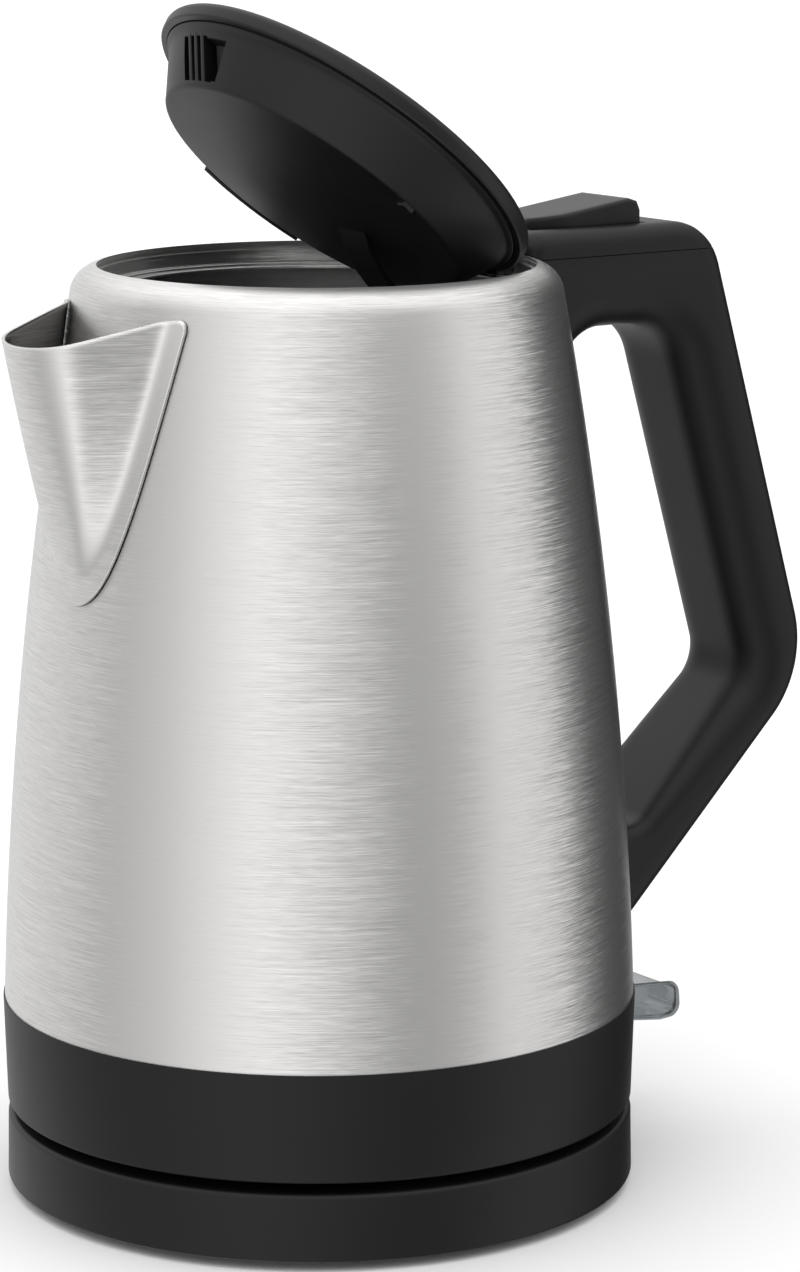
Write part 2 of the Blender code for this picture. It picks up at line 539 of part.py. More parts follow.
def build_jug_wall():
    steel = make_material("jug_steel", (0.52, 0.52, 0.53), 0.3, 1.0)
    spout_steel = make_material("spout_steel", (0.52, 0.52, 0.53), 0.32, 1.0)
    frame_plastic = make_material("filter_plastic", (0.03, 0.03, 0.032), 0.5)
    mesh_steel = make_material("filter_mesh", (0.4, 0.4, 0.41), 0.5, 1.0)
    tube_plastic = make_material("steam_tube_plastic", (0.05, 0.05, 0.055), 0.5)

    low = COLLAR_TOP - 0.0014
    centre, outside, start_z = shoulder_arc(0.0)
    inside = arc(centre, SHOULDER_RADIUS - BODY_WALL, 90, 10, 4)
    wall = BODY_WALL
    rim_in = OPENING_RADIUS
    step = LEDGE_STEP
    outline = wall_line(low, start_z, 0.0, 8)[:-1] + outside
    outline += [
        (rim_in, RIM_Z - 0.0004), (rim_in, LEDGE_Z), (rim_in - step, LEDGE_Z),
        (rim_in - step, LEDGE_Z - LEDGE_DROP), (rim_in - 2 * step, LEDGE_Z - LEDGE_DROP),
        (rim_in - 2 * step, LEDGE_Z - LEDGE_DROP - wall),
        (rim_in + wall, LEDGE_Z - LEDGE_DROP - wall)]
    outline += [p for p in inside if p[0] > rim_in + wall + 0.0002]
    outline += wall_line(start_z - 0.002, low, -wall, 8)
    body = lathe("jug_body", outline, steel)
    hole_low = SPOUT_FOOT + 0.016
    hole_high = SPOUT_TOP - 0.012
    hole = prism("pour_hole_tool", [
        (0.0, hole_low), (0.009, hole_low + 0.008), (0.014, hole_high - 0.004),
        (0.010, hole_high), (-0.010, hole_high), (-0.014, hole_high - 0.004),
        (-0.009, hole_low + 0.008)], -0.075, -0.050, steel, axis="X")
    combine(body, hole)

    rows = 16
    beak_columns = [SPOUT_FLANGE_SHARE * j / 7 for j in range(8)]
    half = beak_columns + [0.84, 0.92, 0.96, 0.985, 1.0]
    across = [-side for side in half[:0:-1]] + half
    columns = len(across) - 1
    work = bmesh.new()
    grid = []
    for i in range(rows + 1):
        grid.append([work.verts.new(spout_place(side, (i / rows) ** 1.6)) for side in across])
    for below, above in zip(grid, grid[1:]):
        for j in range(columns):
            work.faces.new((below[j], below[j + 1], above[j + 1], above[j]))
    bmesh.ops.remove_doubles(work, verts=work.verts, dist=1e-6)
    spout = from_bmesh("spout", work, spout_steel)
    outward = sum((f.normal.dot(Vector((-1, 0, 0))) for f in spout.data.polygons)) > 0
    skin = spout.modifiers.new("wall", "SOLIDIFY")
    skin.thickness = SPOUT_WALL
    skin.offset = 1.0 if outward else -1.0
    skin.use_even_offset = False

    frame_low = hole_low - 0.004
    frame_high = hole_high + 0.004
    inner = BODY_WALL + 0.0006
    frame = lathe("filter_frame", [
        (wall_radius(frame_low) - inner, frame_low),
        (wall_radius(frame_high) - inner, frame_high),
        (wall_radius(frame_high) - inner - 0.002, frame_high),
        (wall_radius(frame_low) - inner - 0.002, frame_low)], frame_plastic, steps=12,
        sweep=math.radians(34), start=math.pi - math.radians(17))
    window = block("filter_window_tool", (-0.080, -0.0125, frame_low + 0.005),
                   (-0.040, 0.0125, frame_high - 0.005), frame_plastic)
    combine(frame, window)
    sheet_low = frame_low + 0.005 + GAP
    sheet_high = frame_high - 0.005 - GAP
    middle = inner + 0.0008
    half = math.asin((0.0125 - GAP) / wall_radius(sheet_low)) - 0.004
    lathe("filter_mesh", [
        (wall_radius(sheet_low) - middle, sheet_low),
        (wall_radius(sheet_high) - middle, sheet_high),
        (wall_radius(sheet_high) - middle - 0.0005, sheet_high),
        (wall_radius(sheet_low) - middle - 0.0005, sheet_low)], mesh_steel, steps=8,
        sweep=2 * half, start=math.pi - half)

    tube_low = PLATE_Z + 0.007
    tube_high = LEDGE_Z - 0.012
    wire("steam_tube", [
        (wall_radius(tube_low) - BODY_WALL - 0.0052, 0.0, tube_low),
        (wall_radius(0.5 * (tube_low + tube_high)) - BODY_WALL - 0.0062, 0.0,
         0.5 * (tube_low + tube_high)),
        (wall_radius(tube_high) - BODY_WALL - 0.0052, 0.0, tube_high)], 0.0038, tube_plastic,
        sides=3)


# ---- the handle and what it holds ----------------------------------------------------------
def handle_outline():
    """Side view of the whole handle: a closed loop from the nose, round the grip, and back."""
    lean = GRIP_LEAN
    grip_run = math.tan(lean)
    nose = HINGE_OUT + 0.0030
    bend = (HANDLE_BEND_OUT - BEND_RADIUS, BASE_Z + HANDLE_BEND_UP)
    bend_start = (bend[0] + BEND_RADIUS * math.cos(lean), bend[1] + BEND_RADIUS * math.sin(lean))
    corner_z = HANDLE_TOP - CORNER_RADIUS
    corner_end = corner_z + CORNER_RADIUS * math.sin(lean)
    corner = (bend_start[0] - grip_run * (corner_end - bend_start[1])
              - CORNER_RADIUS * math.cos(lean), corner_z)
    points = [(nose, HANDLE_TOP - 0.0035), (nose + 0.0035, HANDLE_TOP)]
    points += arc(corner, CORNER_RADIUS, 90, math.degrees(lean), 6)
    points += arc(bend, BEND_RADIUS, math.degrees(lean), -45, 6)

    half_root = math.sqrt(0.5)
    arm_end = (bend[0] + BEND_RADIUS * half_root, bend[1] - BEND_RADIUS * half_root)
    inside = wall_radius(COLLAR_TOP) - 0.012
    points.append((inside, arm_end[1] - (arm_end[0] - inside)))

    # The arm's upper face is offset by its thickness, and rounds into the wall.
    arm_level = arm_end[1] - arm_end[0] + ARM_THICKNESS / half_root
    wall = wall_radius(arm_level + BODY_RADIUS) + 0.0006
    fillet = (wall + FILLET_RADIUS,
              arm_level + wall + FILLET_RADIUS * (1 + 1 / half_root))
    points += [(inside, fillet[1] - 0.002)]
    points += arc(fillet, FILLET_RADIUS, 190, 315, 5)

    # The finger hole's lower corner touches both inner faces.
    past_grip = GRIP_THICKNESS + HOLE_RADIUS - BEND_RADIUS
    past_arm = (ARM_THICKNESS + HOLE_RADIUS - BEND_RADIUS) / half_root
    shift_z = (past_arm * math.cos(lean) - past_grip) / (math.cos(lean) + math.sin(lean))
    hole = (bend[0] + shift_z - past_arm, bend[1] + shift_z)
    points += arc(hole, HOLE_RADIUS, -45, math.degrees(lean), 4)
    hole_start = (hole[0] + HOLE_RADIUS * math.cos(lean), hole[1] + HOLE_RADIUS * math.sin(lean))

    arch_z = ARCH_TOP - ARCH_RADIUS
    arch_end = arch_z + ARCH_RADIUS * math.sin(lean)
    arch = hole_start[0] - grip_run * (arch_end - hole_start[1]) - ARCH_RADIUS * math.cos(lean)
    points += arc((arch, arch_z), ARCH_RADIUS, math.degrees(lean), 90, 5)
    near_wall = wall_radius(arch_z) + 0.0006 + ARCH_RADIUS
    points += arc((near_wall, arch_z), ARCH_RADIUS, 90, 165, 4)
    points += [(nose, ARCH_TOP - 0.012)]
    return points


def build_handle():
    plastic = make_material("handle_plastic", (0.026, 0.026, 0.028), 0.45)
    cover_plastic = make_material("handle_cover_plastic", (0.028, 0.028, 0.030), 0.42)
    bracket_steel = make_material("bracket_steel", (0.4, 0.4, 0.41), 0.4, 1.0)

    half = HANDLE_WIDTH / 2
    outline = handle_outline()
    body = prism("handle_body", outline, -half, half, plastic, HANDLE_ROUND, smooth=True)
    cover = prism("handle_top_cover", outline, -half, half, cover_plastic, HANDLE_ROUND,
                  smooth=True)
    far = HANDLE_BEND_OUT + 0.02
    above = block("above_split_tool", (0.0, -0.03, COVER_SPLIT), (far, 0.03, HANDLE_TOP + 0.02),
                  plastic)
    below = block("below_split_tool", (0.0, -0.03, 0.0), (far, 0.03, COVER_SPLIT + GAP), plastic)
    combine(body, above)
    combine(cover, below)
    tool = body_tool("handle_root_tool", plastic)
    combine(body, tool)
    combine(cover, tool)

    pocket_half = BUTTON_HALF_WIDTH + 0.0010
    pocket_end = BUTTON_START + BUTTON_LENGTH + 0.002
    pocket_start = wall_radius(POCKET_FLOOR) + 0.003
    pocket = block("handle_pocket_tool", (pocket_start, -pocket_half, POCKET_FLOOR),
                   (pocket_end, pocket_half, COVER_SPLIT + 0.004), plastic)
    pin_seat = rod("button_seat_tool", (BUTTON_PIVOT_OUT, 0, BUTTON_PIVOT_Z),
                   BUTTON_PIN_RADIUS + 0.0001, BUTTON_PIN_LENGTH + 2 * GAP, plastic, axis="Y")
    pads = []
    for name, z, high in (("handle_bracket_upper", RIM_Z - 0.0235, 0.014),
                          ("handle_bracket_lower", COLLAR_TOP + 0.0110, 0.010)):
        x = wall_radius(z - high / 2) + 0.0008
        block(name, (x, -0.008, z - high / 2), (x + 0.0012, 0.008, z + high / 2),
              bracket_steel, 0.0003)
        pads.append(block(name + "_tool", (x - 0.01, -0.008 - GAP, z - high / 2 - GAP),
                          (x + 0.0012 + GAP, 0.008 + GAP, z + high / 2 + GAP), plastic))
    combine(body, join_into(pocket, pads))
    combine(body, pin_seat)

    opening = block("button_opening_tool",
                    (BUTTON_START - 0.0005, -BUTTON_HALF_WIDTH - 0.0005, COVER_SPLIT - 0.01),
                    (BUTTON_START + BUTTON_LENGTH + BUTTON_SWING_ROOM,
                     BUTTON_HALF_WIDTH + 0.0005, HANDLE_TOP + 0.01), cover_plastic)
    bolt_way = block("bolt_way_tool", (HINGE_OUT, -0.0035, HINGE_Z - 0.0016),
                     (BUTTON_START + 0.001, 0.0035, HINGE_Z + 0.0016), cover_plastic)
    combine(cover, opening)
    combine(cover, bolt_way)


def build_button():
    plastic = make_material("button_plastic", (0.034, 0.034, 0.036), 0.38)
    bolt_plastic = make_material("bolt_plastic", (0.5, 0.5, 0.5), 0.5)
    pin_steel = make_material("button_pin_steel", (0.5, 0.5, 0.51), 0.3, 1.0)
    spring_steel = make_material("button_spring_steel", (0.4, 0.4, 0.41), 0.35, 1.0)

    start = BUTTON_START
    end = start + BUTTON_LENGTH
    rear = HANDLE_TOP + BUTTON_RISE
    front = rear - BUTTON_SLOPE
    skirt = HANDLE_TOP - 0.0030
    pivot = (BUTTON_PIVOT_OUT, BUTTON_PIVOT_Z)
    outline = [
        (start, skirt), (start, front - 0.0012), (start + 0.0015, front),
        (end - 0.006, rear), (end - 0.001, rear - 0.001), (end, rear - 0.003), (end, skirt),
        (pivot[0] + 0.0045, skirt), (pivot[0] + 0.0025, pivot[1] - 0.0020),
        (pivot[0] - 0.0020, pivot[1] - 0.0020), (pivot[0] - 0.0026, skirt)]
    button = prism("lid_button", outline, -BUTTON_HALF_WIDTH, BUTTON_HALF_WIDTH, plastic, 0.0010)
    move_origin(button, (pivot[0], 0.0, pivot[1]))
    pin_hole = rod("button_hole_tool", (pivot[0], 0, pivot[1]), BUTTON_PIN_RADIUS + 0.0001,
                   0.04, plastic, axis="Y")
    combine(button, pin_hole)
    rod("button_pin", (pivot[0], 0, pivot[1]), BUTTON_PIN_RADIUS, BUTTON_PIN_LENGTH,
        pin_steel, axis="Y")
    spring_low = POCKET_FLOOR + GAP + 0.0006
    spring_high = skirt - GAP - 0.0006
    turns = 4
    wire("button_spring", coil((end - 0.008, 0, (spring_low + spring_high) / 2), "Z", 0.003,
                               (spring_high - spring_low) / turns, turns), 0.00045,
         spring_steel, sides=1)
    bolt_start = HINGE_OUT + 0.0030
    bolt = block("latch_bolt", (bolt_start, -0.003, HINGE_Z - 0.0012),
                 (BUTTON_START - 0.0028, 0.003, HINGE_Z + 0.0012), bolt_plastic, 0.0003)
    move_origin(bolt, (bolt_start, 0.0, HINGE_Z))


def move_origin(thing, place):
    """Put an object's origin at a place without moving its shape."""
    thing.data.transform(Matrix.Translation(-Vector(place)))
    thing.location = place


# ---- the lid hinge and the lid --------------------------------------------------------------
def build_hinge():
    plastic = make_material("hinge_plastic", (0.024, 0.024, 0.026), 0.45)
    pin_steel = make_material("hinge_pin_steel", (0.5, 0.5, 0.51), 0.3, 1.0)
    spring_steel = make_material("lid_spring_steel", (0.4, 0.4, 0.41), 0.35, 1.0)

    front = HINGE_OUT - 0.0034
    rear = HINGE_OUT + 0.0026
    low = LEDGE_Z + GAP
    top = HINGE_Z + 0.0024
    half = 0.0115
    housing = block("hinge_housing", (front, -half, low), (rear, half, top), plastic, 0.0008)
    ear_half = 0.0050 + GAP
    slot = block("hinge_slot_tool", (front - 0.001, -ear_half, HINGE_Z - 0.0047),
                 (rear + 0.001, ear_half, top + 0.001), plastic)
    bore = rod("hinge_bore_tool", (HINGE_OUT, 0, HINGE_Z), HINGE_PIN_RADIUS + 0.0001, 0.04,
               plastic, axis="Y")
    combine(housing, slot)
    combine(housing, bore)
    rod("hinge_pin", (HINGE_OUT, 0, HINGE_Z), HINGE_PIN_RADIUS, 2 * half - 0.001, pin_steel,
        axis="Y")
    wire("lid_spring", coil((HINGE_OUT, 0.0, HINGE_Z), "Y", 0.0019, 0.0011, 4),
         0.00035, spring_steel, sides=1)


def lid_tools(material):
    """Shapes cut from both lid halves: the notch that clears the hinge housing."""
    return block("lid_notch_tool", (HINGE_OUT - 0.0042, -0.0120, LID_TOP - 0.03),
                 (HINGE_OUT + 0.02, 0.0120, LID_TOP + 0.02), material)


def build_lid():
    plastic = make_material("lid_cover_plastic", (0.030, 0.030, 0.032), 0.42)
    plug_plastic = make_material("lid_plug_plastic", (0.026, 0.026, 0.028), 0.48)
    silicone = make_material("lid_bumper_silicone", (0.010, 0.010, 0.010), 0.7)

    edge = 0.0020
    split = LID_TOP - LID_COVER_HEIGHT
    wall = LID_WALL
    cover = lathe("lid_cover", [
        (0.0, LID_TOP), (LID_RADIUS - edge, LID_TOP),
        *arc((LID_RADIUS - edge, LID_TOP - edge), edge, 75, 0, 4),
        (LID_RADIUS - 0.0003, split), (LID_RADIUS - 0.0003 - wall, split),
        (LID_RADIUS - 0.0003 - wall, LID_TOP - wall), (0.0, LID_TOP - wall)], plastic,
        closed=False)
    notch = lid_tools(plastic)
    combine(cover, notch)
    arm_top = HINGE_Z + 0.0022
    arm = prism("lid_arm_tool", [
        (HINGE_OUT - 0.0075, LID_TOP - 0.001), (HINGE_OUT - 0.0020, LID_TOP - 0.001),
        *arc((HINGE_OUT, HINGE_Z), 0.0023, -70, 95, 8),
        (HINGE_OUT - 0.0045, arm_top - 0.0012), (HINGE_OUT - 0.0075, LID_TOP + 0.0006)],
        -0.0050, 0.0050, plastic)
    combine(cover, arm, "UNION")
    bore = rod("lid_bore_tool", (HINGE_OUT, 0, HINGE_Z), HINGE_PIN_RADIUS + 0.0001, 0.04,
               plastic, axis="Y")
    spring_room = rod("lid_spring_room_tool", (HINGE_OUT, 0, HINGE_Z), 0.0026, 0.0056,
                      plastic, axis="Y")
    combine(cover, bore)
    combine(cover, spring_room)

    plug_low = LID_TOP - LID_PLUG_DEPTH
    flange_top = LID_TOP - wall - GAP
    seam = split - 0.0003
    inner_r = LID_RADIUS - 0.0003 - wall - GAP
    root = LID_FLANGE_RADIUS - 0.0030
    plug = lathe("lid_inner", [
        (0.0, plug_low), (LID_PLUG_RADIUS - 0.0012, plug_low),
        (LID_PLUG_RADIUS, plug_low + 0.0012), (root, seam - 0.0022), (root + 0.0008, seam - 0.0010),
        (inner_r, seam - 0.0005), (inner_r, flange_top), (inner_r - 0.002, flange_top),
        (inner_r - 0.002, split + 0.0008), (LID_PLUG_RADIUS - wall, split),
        (LID_PLUG_RADIUS - wall - 0.002, plug_low + wall), (0.0, plug_low + wall)],
        plug_plastic, closed=False)
    combine(plug, notch)
    vent_angle = math.pi - math.radians(14)
    vents = []
    for i in range(3):
        vent = block(f"vent_tool_{i}", (0.0405, -0.0012, plug_low + 0.0035),
                     (0.0530, 0.0012, seam - 0.0005), plug_plastic)
        shift = 0.0034 * (i - 1)
        vent.data.transform(Matrix.Rotation(vent_angle, 4, "Z")
                            @ Matrix.Translation((0, shift, 0)))
        vents.append(vent)
    combine(plug, join_into(vents[0], vents[1:]))

    stay = prism("lid_stay", [
        (0.0150, plug_low - GAP), (0.0280, plug_low - 0.0052), (0.0350, plug_low - 0.0060),
        (0.0350, plug_low - 0.0048), (0.0285, plug_low - 0.0040), (0.0185, plug_low - GAP)],
        -0.0055, 0.0055, plug_plastic)
    bumper = lathe("lid_bumper", [
        (LID_PLUG_RADIUS + 0.0003, plug_low + 0.0002), (LID_PLUG_RADIUS + 0.0016, plug_low),
        (LID_PLUG_RADIUS + 0.0024, plug_low + 0.0030), (LID_PLUG_RADIUS + 0.0016, plug_low + 0.0030)],
        silicone, steps=8, sweep=math.radians(40), start=math.radians(55))
    pieces = [cover, plug, stay, bumper, notch, arm, bore, vents[0]]
    swing = bpy.data.objects.new("lid_hinge_axis", None)
    bpy.context.scene.collection.objects.link(swing)
    swing.parent = jug_axis
    swing.location = (HINGE_OUT, 0.0, HINGE_Z)
    swing.rotation_euler = (0.0, LID_OPEN_ANGLE, 0.0)
    for piece in pieces:
        piece.data.transform(Matrix.Translation((-HINGE_OUT, 0.0, -HINGE_Z)))
        piece.parent = swing


# ---- the switch lever -------------------------------------------------------------------------
def build_lever():
    clear = make_material("lever_clear", (0.35, 0.36, 0.37), 0.08, alpha=0.45)
    pin_steel = make_material("lever_pin_steel", (0.5, 0.5, 0.51), 0.3, 1.0)
    lamp = make_material("lamp_glass", (0.75, 0.30, 0.20), 0.2)

    x, z = LEVER_PIVOT_OUT, COLLAR_Z + LEVER_PIVOT_UP
    tip = LEVER_REACH
    thick = LEVER_THICK
    tip_low = z - LEVER_DROP
    outline = [
        (x - 0.0030, z - 0.0026), (x + 0.0060, z - 0.0034), (tip - 0.006, tip_low),
        (tip - 0.001, tip_low + 0.0004), (tip, tip_low + 0.0020), (tip - 0.0006, tip_low + thick),
        (tip - 0.0030, tip_low + thick + 0.0018), (x + 0.0100, z + 0.0030),
        (x - 0.0030, z + 0.0030)]
    lever = prism("switch_lever", outline, -LEVER_WIDTH / 2, LEVER_WIDTH / 2, clear, 0.0012,
                  smooth=False)
    move_origin(lever, (x, 0.0, z))
    combine(lever, rod("lever_bore_tool", (x, 0, z), 0.0011, 0.04, clear, axis="Y"))
    rod("lever_pin", (x, 0, z), 0.0010, LEVER_WIDTH + 0.004, pin_steel, axis="Y")
    trip = block("trip_arm", (x - 0.0150, -0.0045, z - 0.0010), (x - 0.0033, 0.0045, z + 0.0012),
                 lamp, 0.0003)
    trip.data.materials[0] = make_material("trip_plastic", (0.6, 0.6, 0.6), 0.5)
    move_origin(trip, (x, 0.0, z))
    rod("indicator_lamp", (x - 0.002, 0.0165, z + 0.0), 0.0015, 0.006, lamp, axis="X", steps=12)


clear_scene()
jug_axis = bpy.data.objects.new("jug_axis", None)
bpy.context.scene.collection.objects.link(jug_axis)
jug_axis.location = (AXIS_X, 0.0, 0.0)
build_base()
build_jug_foot()
build_jug_wall()
build_handle()
build_button()
build_hinge()
build_lid()
build_lever()
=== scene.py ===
"""A cordless electric kettle: brushed steel jug on a round power base, lid held open."""
import math

import bmesh
import bpy
import numpy as np
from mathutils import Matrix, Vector


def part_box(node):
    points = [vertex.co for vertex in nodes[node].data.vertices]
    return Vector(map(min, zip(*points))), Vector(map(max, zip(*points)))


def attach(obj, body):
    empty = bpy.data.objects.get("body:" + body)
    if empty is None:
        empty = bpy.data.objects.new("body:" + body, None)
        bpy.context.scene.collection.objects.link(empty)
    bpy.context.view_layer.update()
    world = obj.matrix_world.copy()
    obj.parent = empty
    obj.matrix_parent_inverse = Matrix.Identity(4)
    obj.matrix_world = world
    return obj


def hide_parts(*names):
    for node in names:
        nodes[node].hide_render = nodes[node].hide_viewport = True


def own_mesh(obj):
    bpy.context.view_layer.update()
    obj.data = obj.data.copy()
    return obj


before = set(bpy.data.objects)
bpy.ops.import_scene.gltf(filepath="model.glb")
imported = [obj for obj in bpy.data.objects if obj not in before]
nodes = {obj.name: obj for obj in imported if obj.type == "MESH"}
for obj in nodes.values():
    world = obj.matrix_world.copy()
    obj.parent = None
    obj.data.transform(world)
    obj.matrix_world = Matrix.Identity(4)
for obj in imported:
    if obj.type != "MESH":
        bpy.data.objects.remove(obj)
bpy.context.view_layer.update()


# ---- power base: outer shell ----------------------------------------------------------------
# A round tray moulded in black polypropylene. It is turned here from its section, with a
# rounded lower edge and a small chamfer at the top, where the jug's collar hovers above it.
AXIS_X = (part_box("jug_collar")[0].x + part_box("jug_collar")[1].x) / 2
AROUND = 192                       # facets round the jug and the base


def linear(hex_colour):
    """sRGB hex to linear RGBA: the standard sRGB curve, channel by channel."""
    channels = np.array([int(hex_colour[i:i + 2], 16) for i in (1, 3, 5)]) / 255
    curve = np.where(channels <= 0.04045, channels / 12.92, ((channels + 0.055) / 1.055) ** 2.4)
    return (*curve.tolist(), 1.0)


def add(tree, kind, links=(), **settings):
    """Adds one node. settings are its properties or the values of its inputs, and links pairs
    an input's name or number with the socket that feeds it."""
    node = tree.nodes.new(kind)
    for key, value in settings.items():
        name = key.replace("_", " ")
        found = [s for s in node.inputs if s.name.lower() == name.lower()]
        if found and not hasattr(node, key):
            found[0].default_value = value
        else:
            setattr(node, key, value)
    for where, source in links:
        tree.links.new(source, node.inputs[where])
    return node


def start_material(name, colour, roughness, metallic=0.0):
    """A new Principled material, with its tree, its shader and Object coordinates."""
    material = bpy.data.materials.new(name)
    material.use_nodes = True
    tree = material.node_tree
    shader = tree.nodes["Principled BSDF"]
    shader.inputs["Base Color"].default_value = linear(colour)
    shader.inputs["Roughness"].default_value = roughness
    shader.inputs["Metallic"].default_value = metallic
    place = add(tree, "ShaderNodeTexCoord").outputs["Object"]
    return material, tree, shader, place


def mapped(tree, source, low, high, start=0.0, end=1.0):
    """A socket's values, taken from the range start to end onto the range low to high."""
    node = add(tree, "ShaderNodeMapRange", [("Value", source)])
    for key, value in (("From Min", start), ("From Max", end), ("To Min", low), ("To Max", high)):
        node.inputs[key].default_value = value
    return node.outputs[0]


def tinted(tree, shader, colour, factor):
    """Gives a shader a colour multiplied by a socket's values."""
    tint = add(tree, "ShaderNodeVectorMath", [("Scale", factor)], operation="SCALE")
    tint.inputs[0].default_value = linear(colour)[:3]
    tree.links.new(tint.outputs[0], shader.inputs["Base Color"])


def bumped(tree, shader, height, strength, distance):
    """Raises a shader's surface by a socket's values, up to distance in metres."""
    bump = add(tree, "ShaderNodeBump", [("Height", height)], Strength=strength,
               Distance=distance)
    tree.links.new(bump.outputs[0], shader.inputs["Normal"])


def moulded_plastic(name, colour, roughness, grain_mm=0.35, relief=0.12, mottle=0.10,
                    specular=0.36):
    """Injection-moulded plastic with a spark-eroded finish: a fine even grain breaks up the
    highlights, and a faint cloudiness comes from handling. The grain is drawn at grain_mm."""
    material, tree, shader, place = start_material(name, colour, roughness)
    shader.inputs["Specular IOR Level"].default_value = specular
    grain = add(tree, "ShaderNodeTexNoise", [("Vector", place)], Scale=1000 / grain_mm,
                Detail=2.0, Roughness=0.55)
    cloud = add(tree, "ShaderNodeTexNoise", [("Vector", place)], Scale=45.0, Detail=3.0,
                Roughness=0.6)
    fac = cloud.outputs["Fac"]
    tinted(tree, shader, colour, mapped(tree, fac, 1.0 - mottle, 1.0 + mottle))
    gloss = mapped(tree, fac, roughness - 0.04, roughness + 0.04)
    tree.links.new(gloss, shader.inputs["Roughness"])
    bumped(tree, shader, grain.outputs["Fac"], relief, 0.00005)
    return material


def make_piece(name, points, faces, material, body, replaced=(), sharp=32.0):
    """A piece from arrays of points and faces. It rides on a body and takes a slot's finish."""
    mesh = bpy.data.meshes.new(name)
    mesh.from_pydata(np.asarray(points, float).tolist(), [], [list(f) for f in faces])
    mesh.validate()
    mesh.polygons.foreach_set("use_smooth", np.ones(len(mesh.polygons), bool))
    mesh.set_sharp_from_angle(angle=math.radians(sharp))
    piece = bpy.data.objects.new(name, mesh)
    bpy.context.scene.collection.objects.link(piece)
    mesh.materials.append(material)
    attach(piece, body)
    if replaced:
        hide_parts(*replaced)
    return piece


def grid_faces(rows, columns, wrap_rows=False, wrap_columns=False, keep=None):
    """Quads between the points of a rows by columns grid, as an array of four indices. keep is
    a mask of the quads that stay."""
    r = np.arange(rows if wrap_rows else rows - 1)
    c = np.arange(columns if wrap_columns else columns - 1)
    i, j = np.meshgrid(r, c, indexing="ij")
    i2, j2 = (i + 1) % rows, (j + 1) % columns
    quads = np.stack([i * columns + j, i * columns + j2, i2 * columns + j2, i2 * columns + j], -1)
    if keep is not None:
        quads = quads[keep]
    return quads.reshape(-1, 4)


def turn(profile, around):
    """Turns a closed section of (radius, height) points about the jug's axis: x is the radius
    times the angle's cosine, y the radius times its sine. The section runs anticlockwise."""
    angles = np.linspace(0, math.tau, around, endpoint=False)
    section = np.asarray(profile, float)
    radius, height = section[:, :1], section[:, 1:]
    points = np.stack([AXIS_X + radius * np.cos(angles), radius * np.sin(angles),
                       height + 0 * angles], -1)
    return points.reshape(-1, 3)


def round_corner(corner, before, after, radius, steps=5):
    """Points of a rounding that takes a section's corner off: an arc touching both sides."""
    corner, before, after = (np.asarray(p, float) for p in (corner, before, after))
    to_before = (before - corner) / np.linalg.norm(before - corner)
    to_after = (after - corner) / np.linalg.norm(after - corner)
    half = math.acos(np.clip(to_before @ to_after, -1, 1)) / 2
    reach = radius / math.tan(half)
    bisector = to_before + to_after
    centre = corner + bisector / np.linalg.norm(bisector) * radius / math.sin(half)
    start, end = corner + to_before * reach - centre, corner + to_after * reach - centre
    t = np.linspace(0, 1, steps)[:, None]
    mix = start * (1 - t) + end * t
    return (centre + mix / np.linalg.norm(mix, axis=1, keepdims=True) * radius).tolist()


def rounded_section(points, radii, steps=5):
    """A closed section whose corners are rounded with the given radii, 0 leaving one sharp."""
    made = []
    for i, (point, radius) in enumerate(zip(points, radii)):
        if radius <= 0:
            made.append(list(point))
        else:
            made += round_corner(point, points[i - 1], points[(i + 1) % len(points)], radius,
                                 steps)
    return made


base_plastic = moulded_plastic("base_polypropylene", "#0c0c0d", 0.46, specular=0.31)
shell_low, shell_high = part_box("base_top_shell")
BASE_OUT = (shell_high.x - shell_low.x) / 2
BASE_TOP = shell_high.z
CONNECTOR_HOLE = (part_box("base_connector")[1].x - AXIS_X) + 0.0003
SHELL_WALL = 0.0024
shell_section = rounded_section(
    [(BASE_OUT - SHELL_WALL, shell_low.z), (BASE_OUT, shell_low.z),
     (BASE_OUT - 0.0003, BASE_TOP), (0.0640, BASE_TOP), (0.0630, BASE_TOP - 0.0008),
     (0.0600, BASE_TOP - 0.0008), (0.0590, BASE_TOP), (0.0300, BASE_TOP),
     (0.0290, BASE_TOP - 0.0008), (CONNECTOR_HOLE, BASE_TOP - 0.0008),
     (CONNECTOR_HOLE, BASE_TOP - SHELL_WALL), (BASE_OUT - SHELL_WALL - 0.0003,
                                               BASE_TOP - SHELL_WALL)],
    [0.0003, 0.0006, 0.0014, 0.0003, 0.0003, 0.0003, 0.0003, 0.0003, 0.0003, 0.0003, 0, 0])


def turned_piece(name, section, material, body, replaced=(), around=AROUND):
    """A ring turned from a closed section, with quads all the way round."""
    return make_piece(name, turn(section, around),
                      grid_faces(len(section), around, True, True), material, body,
                      replaced)


turned_piece("base_shell_moulding", shell_section, base_plastic, "base",
             ["base_top_shell"])

# ---- power base: bottom, feet, gland, screws ------------------------------------------------
# The tray is closed from below by a flat cover with three screws. Three rubber pads stand the
# base clear of the worktop, and a rubber gland lines the hole where a lead would leave.
rubber = moulded_plastic("foot_rubber", "#0c0c0c", 0.72, grain_mm=0.5, relief=0.2)


def dress(material, *names):
    """Gives CAD pieces that keep their own shape a finish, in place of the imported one."""
    for name in names:
        nodes[name].data.materials.clear()
        nodes[name].data.materials.append(material)


dress(base_plastic, "base_bottom_cover")
dress(rubber, "base_foot_1", "base_foot_2", "base_foot_3", "base_cord_gland")


